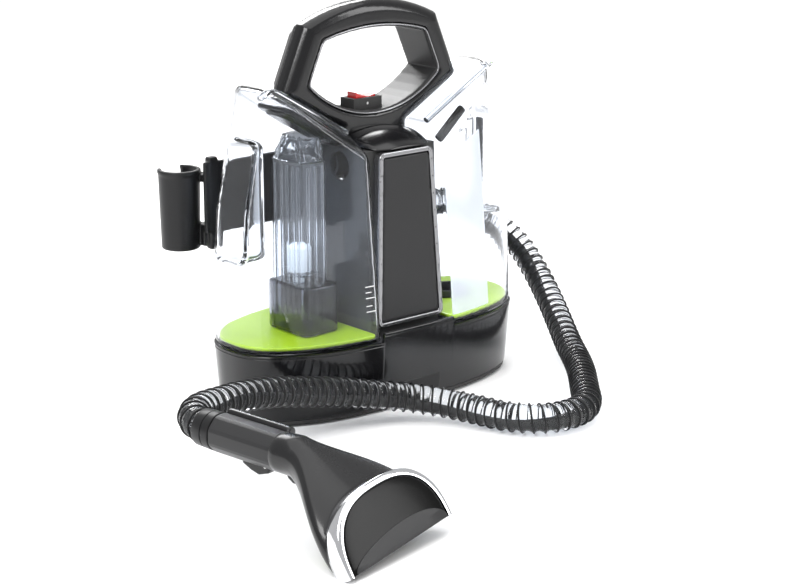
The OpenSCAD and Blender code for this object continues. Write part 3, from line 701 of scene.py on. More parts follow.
def base_angles():
    """Angles around the tub, closer where its front tongue rises."""
    even = circle(320) + 0.002
    steps = []
    for side in (-1, 1):
        mid = -math.acos(min((TONGUE_X / BASE_RX) ** (PLAN_N / 2), 1))
        mid = mid if side > 0 else -math.pi - mid
        steps.append(np.linspace(mid - 0.025, mid + 0.025, 24) % (2 * math.pi))
    return np.unique(np.concatenate([even, *steps]))


def make_base():
    turns = base_angles()
    wall = 3.0
    profile = [(6.0, -1.2), (6.4, -0.5), (7.2, 0.0), (20, 0), (40, 0), (58, 0), (BASE_H - 3.4, 0),
               (BASE_H - 2.9, -0.45), (BASE_H - 2.4, -0.45), (BASE_H - 1.9, 0.1), (BASE_H - 0.7, 0.1),
               (BASE_H - 0.2, -0.2), (BASE_H, -0.8), (BASE_H, -wall + 0.5), (BASE_H - 0.4, -wall),
               (30.0, -wall), (8.0, -wall)]
    rings = []
    for z, out in profile:
        k = (z / BASE_H - 1) * DRAFT + out
        xy = plan_ring(BASE_RX + k, BASE_RY + k, BASE_RY + k, turns)
        lift = np.clip((TONGUE_X + 1.0 - np.abs(xy[:, 0])) / 1.6, 0, 1) * (xy[:, 1] < 0)
        lift = lift * lift * (3 - 2 * lift) * (TONGUE_Z - BASE_H) * np.clip((z - 50) / 12, 0, 1)
        rings.append(np.column_stack([xy, z + lift]))
    settle(make_loft("base_tub", rings, GLOSS_BLACK, angle=28), "machine", "black_gloss", ["base_shell"])


def make_access_cover():
    """The access panel, following the tub's front wall a hair proud of it."""
    across = np.linspace(-17.6, 25.6, 60)
    rings = []
    for z, out in ((8.4, -2.0), (8.4, 0.15), (8.8, 0.4), (24.2, 0.4), (24.6, 0.15), (24.6, -2.0)):
        k = (z / BASE_H - 1) * DRAFT + out
        x = across * (1 if out > 0.2 else 1.008)
        rings.append(level(np.column_stack([x, front_of(x, BASE_RX + k, BASE_RY + k)]), z))
    loops = np.array(rings).transpose(1, 0, 2)
    cover = make_loft("access_cover_skin", loops, SATIN_BLACK, angle=20)
    settle(cover, "machine", "black_satin", ["access_cover"])


make_base()
make_access_cover()

# ---- tanks

TANK_Z, TANK_INNER, TANK_WALL = 66.6, 42.0, 2.4
SLICE_Z = [66.6, 134, 185, 240, 304]
SLICE_X = [158, 157.5, 154, 143, 129]
SLICE_FRONT = [72.5, 66, 61, 56, 50]
SLICE_REAR = [72.5, 72, 70, 66, 60]
TOP_Z, SLOPE = 244.5, math.radians(30)
SCOOP_LOW, SCOOP_HIGH, SCOOP_X = 147.0, 246.0, 132.0
FILLER_X = 100      # middle of the clean tank's filler neck


def tank_slice(z):
    """Half width, front and rear depth of the tanks' outer wall at height z."""
    return [np.interp(z, SLICE_Z, widths) for widths in (SLICE_X, SLICE_FRONT, SLICE_REAR)]


def plan_distance(x, y, rx, front, rear):
    """Signed distance in the plan to the machine's outline, negative inside."""
    depth = np.where(y < 0, front, rear)
    u, v = np.abs(x) / rx, np.abs(y) / depth
    rho = np.maximum((u ** PLAN_N + v ** PLAN_N) ** (1 / PLAN_N), 1e-4)
    slope = np.hypot((u / rho) ** (PLAN_N - 1) / rx, (v / rho) ** (PLAN_N - 1) / depth)
    return (rho - 1) / np.maximum(slope, 1e-5)


def top_height(x, y):
    dip = np.interp(y, [-100, -55, -30, -26, 48, 62, 100], [-34, -13, -0.8, 0, 0, -2, -8])
    return TOP_Z + (x - TANK_INNER) * math.tan(SLOPE) + dip / math.cos(SLOPE)


def tank_field(k):
    """The tank's body, set in by k, with its scooped side."""
    notch = [(SCOOP_X - k + 40, -17 - k), (SCOOP_X - k - 2, -13 - k), (SCOOP_X - k - 2, -3),
             (SCOOP_X - k + 8, 16 + k), (SCOOP_X - k + 40, 44 + k)]

    def field(x, y, z):
        skin = plan_distance(x, y, *(width - k for width in tank_slice(z)))
        side = TANK_INNER + k - x
        top = (z - top_height(x, y)) * math.cos(SLOPE) + k
        body = both(both(skin, side, 6 - k), top, 5.5 - k)
        body = both(body, TANK_Z + k - z, 2.5 - 0.5 * k)
        scoop = both(outline_distance(x, y, notch), slab(z, SCOOP_LOW - k, SCOOP_HIGH + k), 6)
        return cut(body, scoop, 2.5)
    return field


def mirrored(field, side):
    return field if side > 0 else (lambda x, y, z: field(-x, y, z))


def side_box(low, high, side):
    if side > 0:
        return low, high
    return (-high[0], low[1], low[2]), (-low[0], high[1], high[2])


def make_tank(name, side, node, body):
    low, high = side_box((39, -76, 63), (162, 77, 302), side)
    tank = solid(name, low, high, 2.0, mirrored(tank_field(0), side), CLEAR_TANK,
                 mirrored(tank_field(TANK_WALL), side))
    settle(tank, body, "clear_tank", [node])


def crease(side, y, x0, x1, count=28):
    """A line along the tank's sloping top."""
    x = np.linspace(x0, x1, count)
    return np.column_stack([side * x, np.full_like(x, y), top_height(x, np.full_like(x, y))])


def make_rim(name, side, body):
    """The raised bead that runs up the front edge of a tank's sloping top."""
    path = crease(side, -27, 47, 122)
    end = path[-1]
    turn = np.linspace(0.3, 1.9, 7)[:, None]
    out, back = np.sin(turn), 1 - np.cos(turn)
    hook = end + np.hstack([side * 9 * out, 9 * back, 3.2 * out - 6 * back])
    path, _ = smooth_path(np.vstack([path, hook]), 2.0)
    settle(make_loft(name, tube_rings(path, 3.2, 16), CLEAR_PART), body, "clear_part")


def floor_field(x, y, z):
    skin = plan_distance(x, y, 154.4, 68.6, 69.0)
    top = 72.0 + 1.2 * np.clip((np.hypot(x - FILLER_X, y) - 26) / 30, 0, 1)
    return both(both(skin, TANK_INNER + 3.4 - x, 6), slab(z, 69.3, top), 0.8)


def make_floors():
    for side, name, body, node in ((-1, "dirty_floor_sheet", "dirty_tank", "dirty_floor"),
                                   (1, "clean_floor_sheet", "clean_tank", "clean_floor")):
        low, high = side_box((43, -72, 67), (158, 72, 76), side)
        if side > 0:
            def field(x, y, z):
                return cut(floor_field(x, y, z), np.hypot(x - FILLER_X, y) - 22, 0.5)
        else:
            field = mirrored(floor_field, -1)
        settle(solid(name, low, high, 1.2, field, LIME), body, "lime", [node])


make_tank("dirty_tank_shell", -1, "dirty_tank", "dirty_tank")
make_tank("clean_tank_shell", 1, "clean_tank", "clean_tank")
make_rim("dirty_tank_rim", -1, "dirty_tank")
make_rim("clean_tank_rim", 1, "clean_tank")
make_floors()

# ---- separator tower, float and lid

TOWER_X, TOWER_Y, TOWER_Z = (-98.0, -71.0), (-30.0, 16.0), (72.4, 226.0)
FLOAT_AT = np.array([-84.5, -7, 124])


def rounded_rectangle(x0, x1, y0, y1, r, count=7):
    turns = np.concatenate([np.linspace(a, a + math.pi / 2, count) for a in np.arange(4) * math.pi / 2])
    cx = np.where((np.arange(4 * count) // count) % 3 == 0, x1 - r, x0 + r)
    cy = np.where(np.arange(4 * count) // count < 2, y1 - r, y0 + r)
    return np.column_stack([cx + r * np.cos(turns), cy + r * np.sin(turns)])


def rod(name, length, count, radii, sides, material):
    """A round rod up from the origin, or down from it for a negative length."""
    line = np.array([[0, 0, z] for z in np.linspace(0, length, count)])
    return make_loft(name, tube_rings(line, radii, sides, (1, 0, 0)), material)


def make_tower():
    outer = rounded_rectangle(*TOWER_X, *TOWER_Y, 4)
    inner = rounded_rectangle(TOWER_X[0] + 1.6, TOWER_X[1] - 1.6, TOWER_Y[0] + 1.6, TOWER_Y[1] - 1.6, 2.4)
    z0, z1 = TOWER_Z[0] + 14, TOWER_Z[1]
    rings = [level(xy, z) for xy, z in ((outer, z0), (outer, 120), (outer, 170), (outer, z1 - 1), (outer, z1),
                                        (inner, z1), (inner, 150), (inner, z0), (outer, z0))]
    wall = make_loft("tower_wall", rings, CLEAR_PART, caps=False)
    settle(wall, "dirty_tank", "clear_part", ["separator_tower"])
    rib = rod("rib", z1 - z0 - 6, 12, 1.3, 8, CLEAR_PART)
    spots = [(TOWER_X[0] - 0.6, y, z0 + 3) for y in (-24, -17, -9, -1, 7)]
    spots += [(x, TOWER_Y[0] - 0.6, z0 + 3) for x in (-93, -85, -77)]
    settle(copies("tower_ribs", spots, rib, CLEAR_PART), "dirty_tank", "clear_part")
    post = rod("post", 14, 4, 2.2, 10, CLEAR_PART)
    corners = [(x, y, TOWER_Z[0]) for x in (TOWER_X[0] + 3, TOWER_X[1] - 3)
               for y in (TOWER_Y[0] + 3, TOWER_Y[1] - 3)]
    settle(copies("tower_posts", corners, post, CLEAR_PART), "dirty_tank", "clear_part")


def make_funnel():
    """Crumpled clear skirt between the tower's top and the inlet."""
    turns = circle(96)
    rings = []
    for t in np.linspace(0, 1, 15):
        half = np.array([14.5 - 1.5 * t, 23.5 - 7.5 * t])
        mid = np.array([-84.5 + 5.5 * t, -7 + 3 * t])
        wave = 1 + 0.055 * np.sin(9 * turns + 5 * t) * math.sin(math.pi * t)
        wave = wave + 0.03 * np.sin(17 * turns - 8 * t)
        square = np.column_stack([signed_power(np.cos(turns), 0.6), signed_power(np.sin(turns), 0.6)])
        rings.append(level(mid + half * square * wave[:, None], 226.6 + 18.5 * t))
    inner = [r - unit(np.column_stack([(r - r.mean(0))[:, :2], np.zeros(len(r))])) * 1.4 for r in rings[::-1]]
    skirt = make_loft("funnel_skirt", rings + inner + rings[:1], CLEAR_PART, caps=False, angle=60)
    settle(skirt, "dirty_tank", "clear_part", ["tower_funnel"])


def turned(name, profile, at, material, sides=40, angle=35):
    """A closed shape turned about a vertical line, from (radius, height) pairs."""
    a = circle(sides)
    around = np.column_stack([np.cos(a), np.sin(a)])
    return make_loft(name, [level(at[:2] + r * around, at[2] + z) for r, z in profile], material, angle=angle)


def make_float():
    profile = [(3.6, -12), (4, -11.4), (4, -0.4), (9.4, 0), (10.3, 0.8),
               (10.3, 21), (9.6, 22.2), (6, 24.8), (5.2, 25)]
    body = turned("float_body", profile, FLOAT_AT + [0, 0, 2.4], WHITE)
    settle(body, "tank_float", "white", ["tank_float"])
    a = circle(60)
    loop = FLOAT_AT + np.column_stack([11.4 * np.cos(a), 20.6 * np.sin(a), 0 * a])
    hole = FLOAT_AT + np.column_stack([9.6 * np.cos(a), 9.6 * np.sin(a), 0 * a])
    rings = [ring + [0, 0, z] for ring, z in ((loop, 0.2), (loop, 2.2), (hole, 2.2), (hole, 0.2), (loop, 0.2))]
    guide = make_loft("float_guide", rings, CLEAR_PART, caps=False)
    settle(guide, "dirty_tank", "clear_part", ["float_ring"])


def along_and_over(x, z, angle):
    """Distances along a line that rises at the angle, and square to it."""
    return x * math.cos(angle) + z * math.sin(angle), -x * math.sin(angle) + z * math.cos(angle)


def make_lid():
    """Dark moulded inlet duct under the dirty tank's sloping top."""
    def field(x, y, z):
        along, over = along_and_over(-x - 82, z - (TOP_Z + 40 * math.tan(SLOPE)), SLOPE)
        plate = both(both(slab(along, -40, 26), slab(y, -24, 24), 9), slab(over, -10, -5), 1.8)
        duct = both(both(slab(along, -36, 20), slab(y, -12, 16), 7), slab(over, -12.5, -8), 2)
        return either(plate, duct, 1.5)
    lid = solid("inlet_lid", (-114, -27, 205), (-42, 27, 284), 1.2, field, GLOSS_BLACK)
    settle(lid, "dirty_tank", "black_satin", ["dirty_lid"])


def make_tower_foot():
    """Smoked chamber under the tower, around the float."""
    def shape(k):
        def field(x, y, z):
            plan = both(slab(x, -101 + k, -61 - k), slab(y, -35 + k, 21 - k), 7 - k)
            return both(plan, slab(z, 73 + k, 117 - k), 2.5 - k)
        return field
    chamber = solid("tower_chamber", (-104, -38, 70), (-58, 24, 120), 1.1, shape(0), SMOKE, shape(1.6))
    settle(chamber, "dirty_tank", "clear_part")


def make_inner_panel():
    """Frosted sheet behind the clean tank's front, and the dark rib under its sloping top."""
    def field(x, y, z):
        skin = plan_distance(x, y, *tank_slice(z))
        sheet = both(np.abs(skin + 5.5) - 0.8, slab(x, 46.5, 98), 0.5)
        return both(both(sheet, y, 0.0), slab(z, 73, 214 + 0.42 * (x - 46)), 0.5)
    sheet = solid("clean_front_sheet", (44, -72, 71), (100, -20, 242), 1.0, field, HAZE)
    settle(sheet, "clean_tank", "clear_part")

    def rib(x, y, z):
        along, over = along_and_over(x - 64, z - 244, 0.72)
        return both(both(slab(along, -20, 20), slab(over, -4, 4), 2), slab(y, -43, -38), 1.5)
    bar = solid("clean_top_rib", (44, -45, 224), (84, -36, 264), 0.9, rib, SATIN_BLACK)
    settle(bar, "clean_tank", "black_satin")


make_tower_foot()
make_inner_panel()
make_tower()
make_funnel()
make_float()
make_lid()

# ---- panel and bezel

PANEL_Y, PANEL_Z0, PANEL_Z1, PANEL_W0, PANEL_W1 = -61.5, 75.3, 231.0, 39.0, 31.0
LEAN = math.radians(2.6)


def panel_space(x, y, z):
    """Height up the panel's face and depth behind it."""
    up = (z - PANEL_Z0) * math.cos(LEAN) + (y - PANEL_Y) * math.sin(LEAN)
    back = (y - PANEL_Y) * math.cos(LEAN) - (z - PANEL_Z0) * math.sin(LEAN)
    return up, back


def panel_outline(x, up, inset):
    tall = PANEL_Z1 - PANEL_Z0
    half = PANEL_W0 + (PANEL_W1 - PANEL_W0) * up / tall
    return both(np.abs(x) - half + inset, slab(up, inset, tall - inset), max(6 - inset, 2.5))


def bezel_field(x, y, z):
    up, back = panel_space(x, y, z)
    edge = panel_outline(x, up, 0)
    off_middle = np.abs(-edge - 2.3)
    crown = 0.9 * (off_middle / 2.3) ** 2
    groove = 0.5 * (off_middle < 0.7)
    return both(cut(edge, panel_outline(x, up, 4.6)), slab(back, crown + groove, 9), 0.5)


def panel_field(x, y, z):
    up, back = panel_space(x, y, z)
    return both(panel_outline(x, up, 4.9), slab(back, 1.2, 8), 0.3)


def make_panel():
    low, high = (-41, -64, 73), (41, -42, 233)
    settle(solid("bezel_ring", low, high, 0.8, bezel_field, SILVER), "machine", "bezel", ["front_bezel"])
    settle(solid("panel_face", low, high, 1.5, panel_field, PANEL_GREY), "machine", "charcoal", ["front_panel"])


make_panel()

# ---- handle

HANDLE_TOP, CORNER, WING, LEG_FOOT = 358.0, (76.0, 341.0), (96.0, 278.3), (101.0, 284.0)
HOLE_FOOT, HOLE_CORNER, HOLE_TOP, SADDLE_LOW = (74.0, 290.0), (58.0, 326.0), 334.0, 260.0
HANDLE_LOW = 232.3
LINER = 3.05        # room for the liner around the grip opening


def arc_points(half, low, high, count, below=False):
    """Points of an arc through (-half, low), the crest (0, high) and (half, low)."""
    rise = high - low
    r = (half * half + rise * rise) / (2 * rise)
    x = np.linspace(half, -half, count)
    z = high - r + np.sqrt(r * r - x * x)
    return [(a, b) for a, b in zip(x, (2 * low - z if below else z))]


HANDLE_OUTLINE = ([(-40, HANDLE_LOW), (40, HANDLE_LOW), (40, 246), WING, LEG_FOOT]
                  + arc_points(CORNER[0], CORNER[1], HANDLE_TOP, 15)
                  + [(-LEG_FOOT[0], LEG_FOOT[1]), (-WING[0], WING[1]), (-40, 246)])
HOLE_OUTLINE = (arc_points(HOLE_CORNER[0], HOLE_CORNER[1], HOLE_TOP, 9)
                + arc_points(HOLE_FOOT[0], HOLE_FOOT[1], 2 * HOLE_FOOT[1] - SADDLE_LOW, 17, below=True)[::-1])


def shell_outlines(x, z):
    """Distances to the handle's outer outline and to its grip opening."""
    return outline_distance(x, z, HANDLE_OUTLINE), outline_distance(x, z, HOLE_OUTLINE)


def switch_well(x, y, z):
    return both(np.maximum(np.abs(x) - 16.5, np.abs(y - 8) - 9.5), 246 - z)


def handle_front_field(x, y, z):
    outer, hole = shell_outlines(x, z)
    front = -13 - y
    shell = cut(both(outer, front, 11), hole - LINER, 1.2)
    return both(both(shell, y - 4.9, 0.4), slab(z, HANDLE_LOW, 400))


def handle_rear_field(x, y, z):
    outer, hole = shell_outlines(x, z)
    inset = np.interp(y, [5, 11, 17, 23, 30], [0.6, 3.5, 8, 12, 15])
    outer = np.minimum(outer + inset, np.maximum(np.abs(x) - 38, np.abs(z - 245) - 13))
    shell = cut(both(outer, y - 30, 5), hole - LINER, 1)
    return cut(both(both(shell, 5.1 - y, 0.3), slab(z, HANDLE_LOW, 400)), switch_well(x, y, z))


def liner_field(x, y, z):
    hole = outline_distance(x, z, HOLE_OUTLINE)
    band = both(hole - 3.0, -hole - 0.2 + 0.2 * (y < -11))
    return cut(both(band, slab(y, -12.4, 29), 0.6), switch_well(x, y, z))


def ring_path(outline, grow, step=3.0):
    """A closed line around an outline, moved out by grow, with soft corners."""
    p = np.array(outline, float)
    d = unit(np.roll(p, -1, 0) - p)
    n = np.column_stack([d[:, 1], -d[:, 0]])
    area = 0.5 * np.sum(p[:, 0] * np.roll(p[:, 1], -1) - np.roll(p[:, 0], -1) * p[:, 1])
    n = n if area > 0 else -n
    miter = unit(n + np.roll(n, 1, 0))
    p = p + miter * (grow / np.sum(miter * n, 1))[:, None]
    length = np.linalg.norm(np.roll(p, -1, 0) - p, axis=1)
    run = np.concatenate([[0], np.cumsum(length)])
    at = np.linspace(0, run[-1], int(run[-1] / step), endpoint=False)
    q = np.vstack([p, p[:1]])
    q = np.column_stack([np.interp(at, run, q[:, k]) for k in range(2)])
    for _ in range(3):
        q = 0.25 * np.roll(q, 1, 0) + 0.5 * q + 0.25 * np.roll(q, -1, 0)
    return q


def make_handle():
    for name, low, high, step, field, material, slot, node in (
            ("handle_front_shell", (-104, -15, 230), (104, 6.5, 361), 1.5, handle_front_field,
             GLOSS_BLACK, "black_gloss", "handle_front"),
            ("handle_rear_shell", (-104, 3.5, 230), (104, 32, 361), 1.7, handle_rear_field,
             SATIN_BLACK, "black_gloss", "handle_rear"),
            ("handle_liner_band", (-80, -14, 255), (80, 31, 340), 1.3, liner_field,
             CHARCOAL, "black_satin", "handle_liner")):
        settle(solid(name, low, high, step, field, material), "machine", slot, [node])
    ring = ring_path(HOLE_OUTLINE, 1.9)
    points = [(x, -12.7, z) for x, z in ring]
    host = host_of(points, [(i, (i + 1) % len(points)) for i in range(len(points))])
    line = grow("opening_trim", host, WIRE, {"Radius": 0.8 * MM, "Sides": 8, "Finish": SILVER})
    settle(line, "machine", "bezel")


def saddle_field(x, y, z):
    """Glossy dome between the bezel's top and the handle."""
    t = np.clip((y + 53) / 39, 0, 1)
    crest = 234.5 + 12.0 * np.sin(t * math.pi / 2) ** 0.9 - 0.0042 * x * x
    half = 31 + 7 * t
    return both(both(z - crest, np.abs(x) - half, 3), both(slab(y, -53.5, -13.3), HANDLE_LOW - z, 0.3), 1.2)


def make_saddle():
    dome_piece = solid("saddle_dome", (-40, -55, 230), (40, -12, 249), 0.9, saddle_field, GLOSS_BLACK)
    settle(dome_piece, "machine", "black_gloss", ["saddle_cover"])


make_handle()
make_saddle()


# ---- hand tool


def frame_matrix(*steps):
    m = Matrix.Identity(4)
    for kind, value in steps:
        m = m @ (Matrix.Translation(value) if kind == "move" else Matrix.Rotation(value, 4, kind))
    return np.array(m)


TOOL = [("move", tuple(TOOL_AT)), ("Z", TOOL_HEADING)]
GRIP_FRAME = frame_matrix(*TOOL, ("move", (GRIP_BACK, 0, GRIP_Z)), ("Y", math.pi / 2 + GRIP_PITCH))
HEAD_FRAME = frame_matrix(*TOOL, ("X", math.radians(5.5)))
LIP_LEAN = math.radians(27.5)
TURNS = circle(120)


def settle_at(obj, m, body, slot, replaces=()):
    """Moves a piece built in a local frame to its place, inside its own mesh."""
    place = Matrix(m.tolist())
    place.translation = place.translation * MM
    obj.data.transform(place)
    obj.data.update()
    settle(obj, body, slot, replaces)


def grip_section(r, facet):
    """A round section that facet turns into an octagon."""
    a = circle(64) + math.pi / 8
    wedge = (a + math.pi / 8) % (math.pi / 4) - math.pi / 8
    octagon = math.cos(math.pi / 8) / np.cos(wedge) * 1.04
    radius = r * ((1 - facet) + facet * np.minimum(octagon, 1.0))
    return np.column_stack([radius * np.cos(a), radius * np.sin(a)])


def lathe_rings(profile, facet=0.0):
    return [level(grip_section(r, facet), z) for r, z in profile]


CHANNEL_TURN = math.radians(38)


def channel_field(x, y, z):
    """The solution channel, a pipe on a web turned a little to the grip's side."""
    x, y = (x * math.cos(CHANNEL_TURN) - y * math.sin(CHANNEL_TURN),
            x * math.sin(CHANNEL_TURN) + y * math.cos(CHANNEL_TURN))
    pipe = np.hypot(x + 16.2, y) - 4.7
    web = np.maximum(np.abs(y) - 3.6, slab(x, -16, -12))
    return both(either(pipe, web, 1.5), slab(z, 19, 83), 1.5)


def lever_field(x, y, z):
    side = outline_distance(x, z, [(10.8, 45), (10.8, 72), (14.5, 74.5), (19.5, 72),
                                   (23, 62), (21, 54), (17, 45)])
    return both(both(side, np.abs(y) - 4.8, 1.6), side, 1.0)


def make_grip():
    profile = [(13.2, 0), (14.4, 0.2), (14.9, 1.2), (15.1, 9.4), (14.5, 9.7), (14.5, 10.3),
               (15.2, 10.6), (15.4, 17.2), (14.8, 17.8), (13, 18)]
    cuff = make_loft("cuff_sleeve", lathe_rings(profile), SATIN_BLACK, angle=30)
    settle_at(cuff, GRIP_FRAME, "machine", "black_satin", ["hose_cuff"])
    profile = [(13, 18.2), (14.9, 18.4), (15.5, 19.2), (15.5, 45),
               (15.5, 70), (15.5, 83.2), (14.9, 84), (13, 84.2)]
    grip = make_loft("grip_shell", lathe_rings(profile, 0.85), CHARCOAL, angle=14)
    settle_at(grip, GRIP_FRAME, "machine", "black_satin", ["wand_grip"])
    top = solid("grip_channel", (-24, -6, 17), (-6, 18, 85), 0.9, channel_field, GLOSS_BLACK)
    settle_at(top, GRIP_FRAME, "machine", "black_satin", ["wand_channel"])
    lever = solid("trigger_lever", (9, -6, 43), (25, 6, 77), 0.7, lever_field, GLOSS_BLACK)
    settle_at(lever, GRIP_FRAME, "trigger", "black_satin", ["trigger"])


def on_lip(a, b, depth):
    """A point of the lip's plane: across, up and out of the mouth."""
    a, b, depth = np.broadcast_arrays(np.asarray(a, float), b, depth)
    return np.column_stack([depth * math.cos(LIP_LEAN) - b * math.sin(LIP_LEAN), a,
                            depth * math.sin(LIP_LEAN) + b * math.cos(LIP_LEAN)])


def dome(w, h, low, turns):
    """The mouth's outline, w to each side and h high, over a nearly flat foot."""
    s = np.sin(turns)
    up = np.where(s > 0, low + (h - low) * np.abs(s) ** 0.78, low + 2.5 * s)
    return w * signed_power(np.cos(turns), 0.78), up


def make_trumpet():
    """The head's body, from its round neck to the back of the mouth."""
    rings = [np.column_stack([np.full(120, x), w * np.cos(TURNS), 48.9 + h * np.sin(TURNS)]) for x, w, h in
             ((-113.6, 14, 13.5), (-113.4, 15.2, 14.7), (-112.6, 15.9, 15.4),
              (-108, 16.1, 15.6), (-102, 16.4, 15.8), (-96, 16.7, 16.0))]
    neck = rings[-1]
    mouth = on_lip(*dome(58.4, 51.8, 4.5, TURNS), -15.5)
    for u in np.linspace(0, 1, 22)[1:]:
        share = np.array([u, (3 * u * u - 2 * u ** 3) ** 0.86, u ** 1.1])
        rings.append(neck * (1 - share) + mouth * share)
    body = make_loft("head_trumpet", rings, SATIN_GLOSS, angle=50)
    settle_at(body, HEAD_FRAME, "tool_head", "black_satin", ["tool_body"])


def make_band():
    """The chrome band around the mouth."""
    arch = np.linspace(0, math.pi, 90)
    outer, inner = np.column_stack(dome(61, 54, 0, arch)), np.column_stack(dome(56.4, 48.9, 0, arch))
    push = unit(outer - [0, 16])
    section = [(outer + push * g, d) for g, d in
               ((-2.6, -16.6), (-1.6, -16.2), (-0.8, -13), (-0.1, -8),
                (0.3, -4), (0, -1.6), (-0.9, -0.4), (-2, 0))]
    section += [(inner, d) for d in (-0.3, -1.2, -16.6)]
    lines = [on_lip(ab[:, 0], ab[:, 1], d) for ab, d in section]
    band = make_loft("head_band", np.array(lines).transpose(1, 0, 2), CHROME, angle=55)
    settle_at(band, HEAD_FRAME, "tool_head", "bezel", ["tool_band"])


def make_window():
    rings = []
    for scale, d in ((1, -4.5), (1, -1.9), (0.985, -1.4), (0.95, -1.2),
                     (0.8, -0.9), (0.55, -0.7), (0.25, -0.6), (0.05, -0.6)):
        a, b = dome(56.2, 48.7, 0.4, TURNS)
        rings.append(on_lip(a * scale, 18 + (np.maximum(b, 0.4) - 18) * scale, d))
    face = make_loft("head_window", rings, DEEP_BLACK, angle=40)
    settle_at(face, HEAD_FRAME, "tool_head", "black_gloss", ["tool_window"])


def make_half_moon():
    rings = []
    for scale, d in ((1, -2.0), (1, -0.5), (0.985, -0.2), (0.6, -0.1), (0.1, -0.1)):
        a = 1.5 + 54 * signed_power(np.cos(TURNS), 0.95) * scale
        b = np.maximum((15.5 + 3 * np.cos(TURNS)) * np.sin(TURNS), 0) * scale + 0.6 + 4 * (1 - scale)
        rings.append(on_lip(a, b, d))
    moon = make_loft("head_half_moon", rings, CHARCOAL, angle=30)
    settle_at(moon, HEAD_FRAME, "tool_head", "black_satin")


def make_button():
    def field(x, y, z):
        wedge = outline_distance(x, z, [(-106, 36), (-104, 31), (-99, 27.5),
                                        (-94, 27.5), (-89, 31.5), (-86, 36)])
        return both(wedge, np.abs(y) - 6, 2)

    release = solid("release_button", (-108, -8, 25), (-84, 8, 38), 0.8, field, GLOSS_BLACK)
    settle_at(release, HEAD_FRAME, "tool_head", "black_satin")


def make_bristles():
    random = np.random.default_rng(7)
    spots = []
    for i in range(-5, 6):
        for _ in range(26):
            r, a = 2.6 * math.sqrt(random.random()), random.random() * 2 * math.pi
            spots.append((-36 + r * math.cos(a), i * 8 + r * math.sin(a), 8))
    hair = rod("hair", -12.4, 5, [0.42, 0.42, 0.4, 0.36, 0.28], 6, BRISTLE)
    tufts = copies("brush_tufts", spots, hair, BRISTLE, lean=0.14, vary=0.1, seed=11)
    settle_at(tufts, HEAD_FRAME, "tool_head", "bristle", ["tool_brush"])


make_grip()
make_trumpet()
make_band()
make_window()
make_half_moon()
make_button()
make_bristles()

# ---- rear fittings, catches and screws

CUP_AT, CUP_R, CUP_Z = (-133.0, 104.0), 19.0, (134.0, 207.0)


def block(x, y, z, low, high, r=1.2):
    return both(both(slab(x, low[0], high[0]), slab(y, low[1], high[1]), r), slab(z, low[2], high[2]), r)


def bracket_field(x, y, z):
    ring = np.hypot(x - CUP_AT[0], y - CUP_AT[1])
    taper = 1.5 * (CUP_Z[1] - z) / (CUP_Z[1] - CUP_Z[0])
    cup = both(ring - CUP_R + taper, slab(z, *CUP_Z), 2)
    lip = both(np.abs(ring - CUP_R + 1.6) - 2.2, np.abs(z - CUP_Z[1] + 2) - 2, 0.9)
    arms = either(block(x, y, z, (-123, 78, 150), (-30, 82, 215)),
                  block(x, y, z, (-40, 74.4, 150), (-12, 82, 215)), 1)
    arms = either(arms, block(x, y, z, (-118, 78, 134), (-108, 86, 219), 2), 1.5)
    arms = either(arms, either(block(x, y, z, (-122, 83, 196), (-108, 96, 203)),
                               block(x, y, z, (-122, 83, 137), (-108, 96, 157))), 1.5)
    for rib in (158, 206):
        arms = either(arms, block(x, y, z, (-108, 81, rib), (-42, 84, rib + 2.5), 0.8), 0.8)
    body = either(either(cup, lip, 1), arms, 1.5)
    body = cut(body, both(ring - CUP_R + 3.4, CUP_Z[0] + 4 - z), 1)
    slot = block(x, y, z, (CUP_AT[0] - 11, CUP_AT[1], CUP_Z[0] + 4), (CUP_AT[0] + 11, 140, 240), 3)
    return cut(body, slot, 1)


def port_field(x, y, z):
    stem = both(np.hypot(x, z - PORT_Z) - 12, slab(y, 69.5, PORT_Y), 0.5)
    flange = both(np.hypot(x, z - PORT_Z) - 20, slab(y, 74.3, 78.6), 1.2)
    arm = both(np.hypot(y - PORT_Y, z - PORT_Z) - 15.4, slab(x, 0, 61.6), 1.2)
    for ring in (44, 52, 60):
        arm = either(arm, both(np.hypot(y - PORT_Y, z - PORT_Z) - 16.2, np.abs(x - ring) - 1.4, 0.8), 0.8)
    ball = np.sqrt(x * x + (y - PORT_Y) ** 2 + (z - PORT_Z) ** 2) - 16
    return either(either(either(stem, flange, 3), ball, 4), arm, 2)


def hook_field(root, flip):
    """A cord hook at height root, its arm up for flip 1 and down for -1."""
    def field(x, y, z):
        u = (z - root) * flip
        stem = both(np.hypot(x - 22, u) - 6, slab(y, 74.3, 98), 1)
        arm = both(outline_distance(x, u, [(16, 0), (28, 0), (28, 26), (16, 26)]), slab(y, 92.3, 97.3), 1.6)
        return either(stem, arm, 2.5)
    return field


def make_fittings():
    for name, low, high, step, field, body, node in (
            ("bracket_cup", (-155, 70, 130), (-8, 126, 222), 1.3, bracket_field, "machine", "tool_bracket"),
            ("port_elbow", (-24, 66, 112), (66, 123, 158), 1.3, port_field, "machine", "hose_port"),
            ("cord_hook_low", (12, 72, 52), (32, 101, 94), 1.0, hook_field(84, -1), "machine", "cord_hook_fixed"),
            ("cord_hook_high", (12, 72, 198), (32, 101, 240), 1.0, hook_field(208, 1), "cord_hook",
             "cord_hook_swivel")):
        settle(solid(name, low, high, step, field, SATIN_BLACK), body, "black_satin", [node])


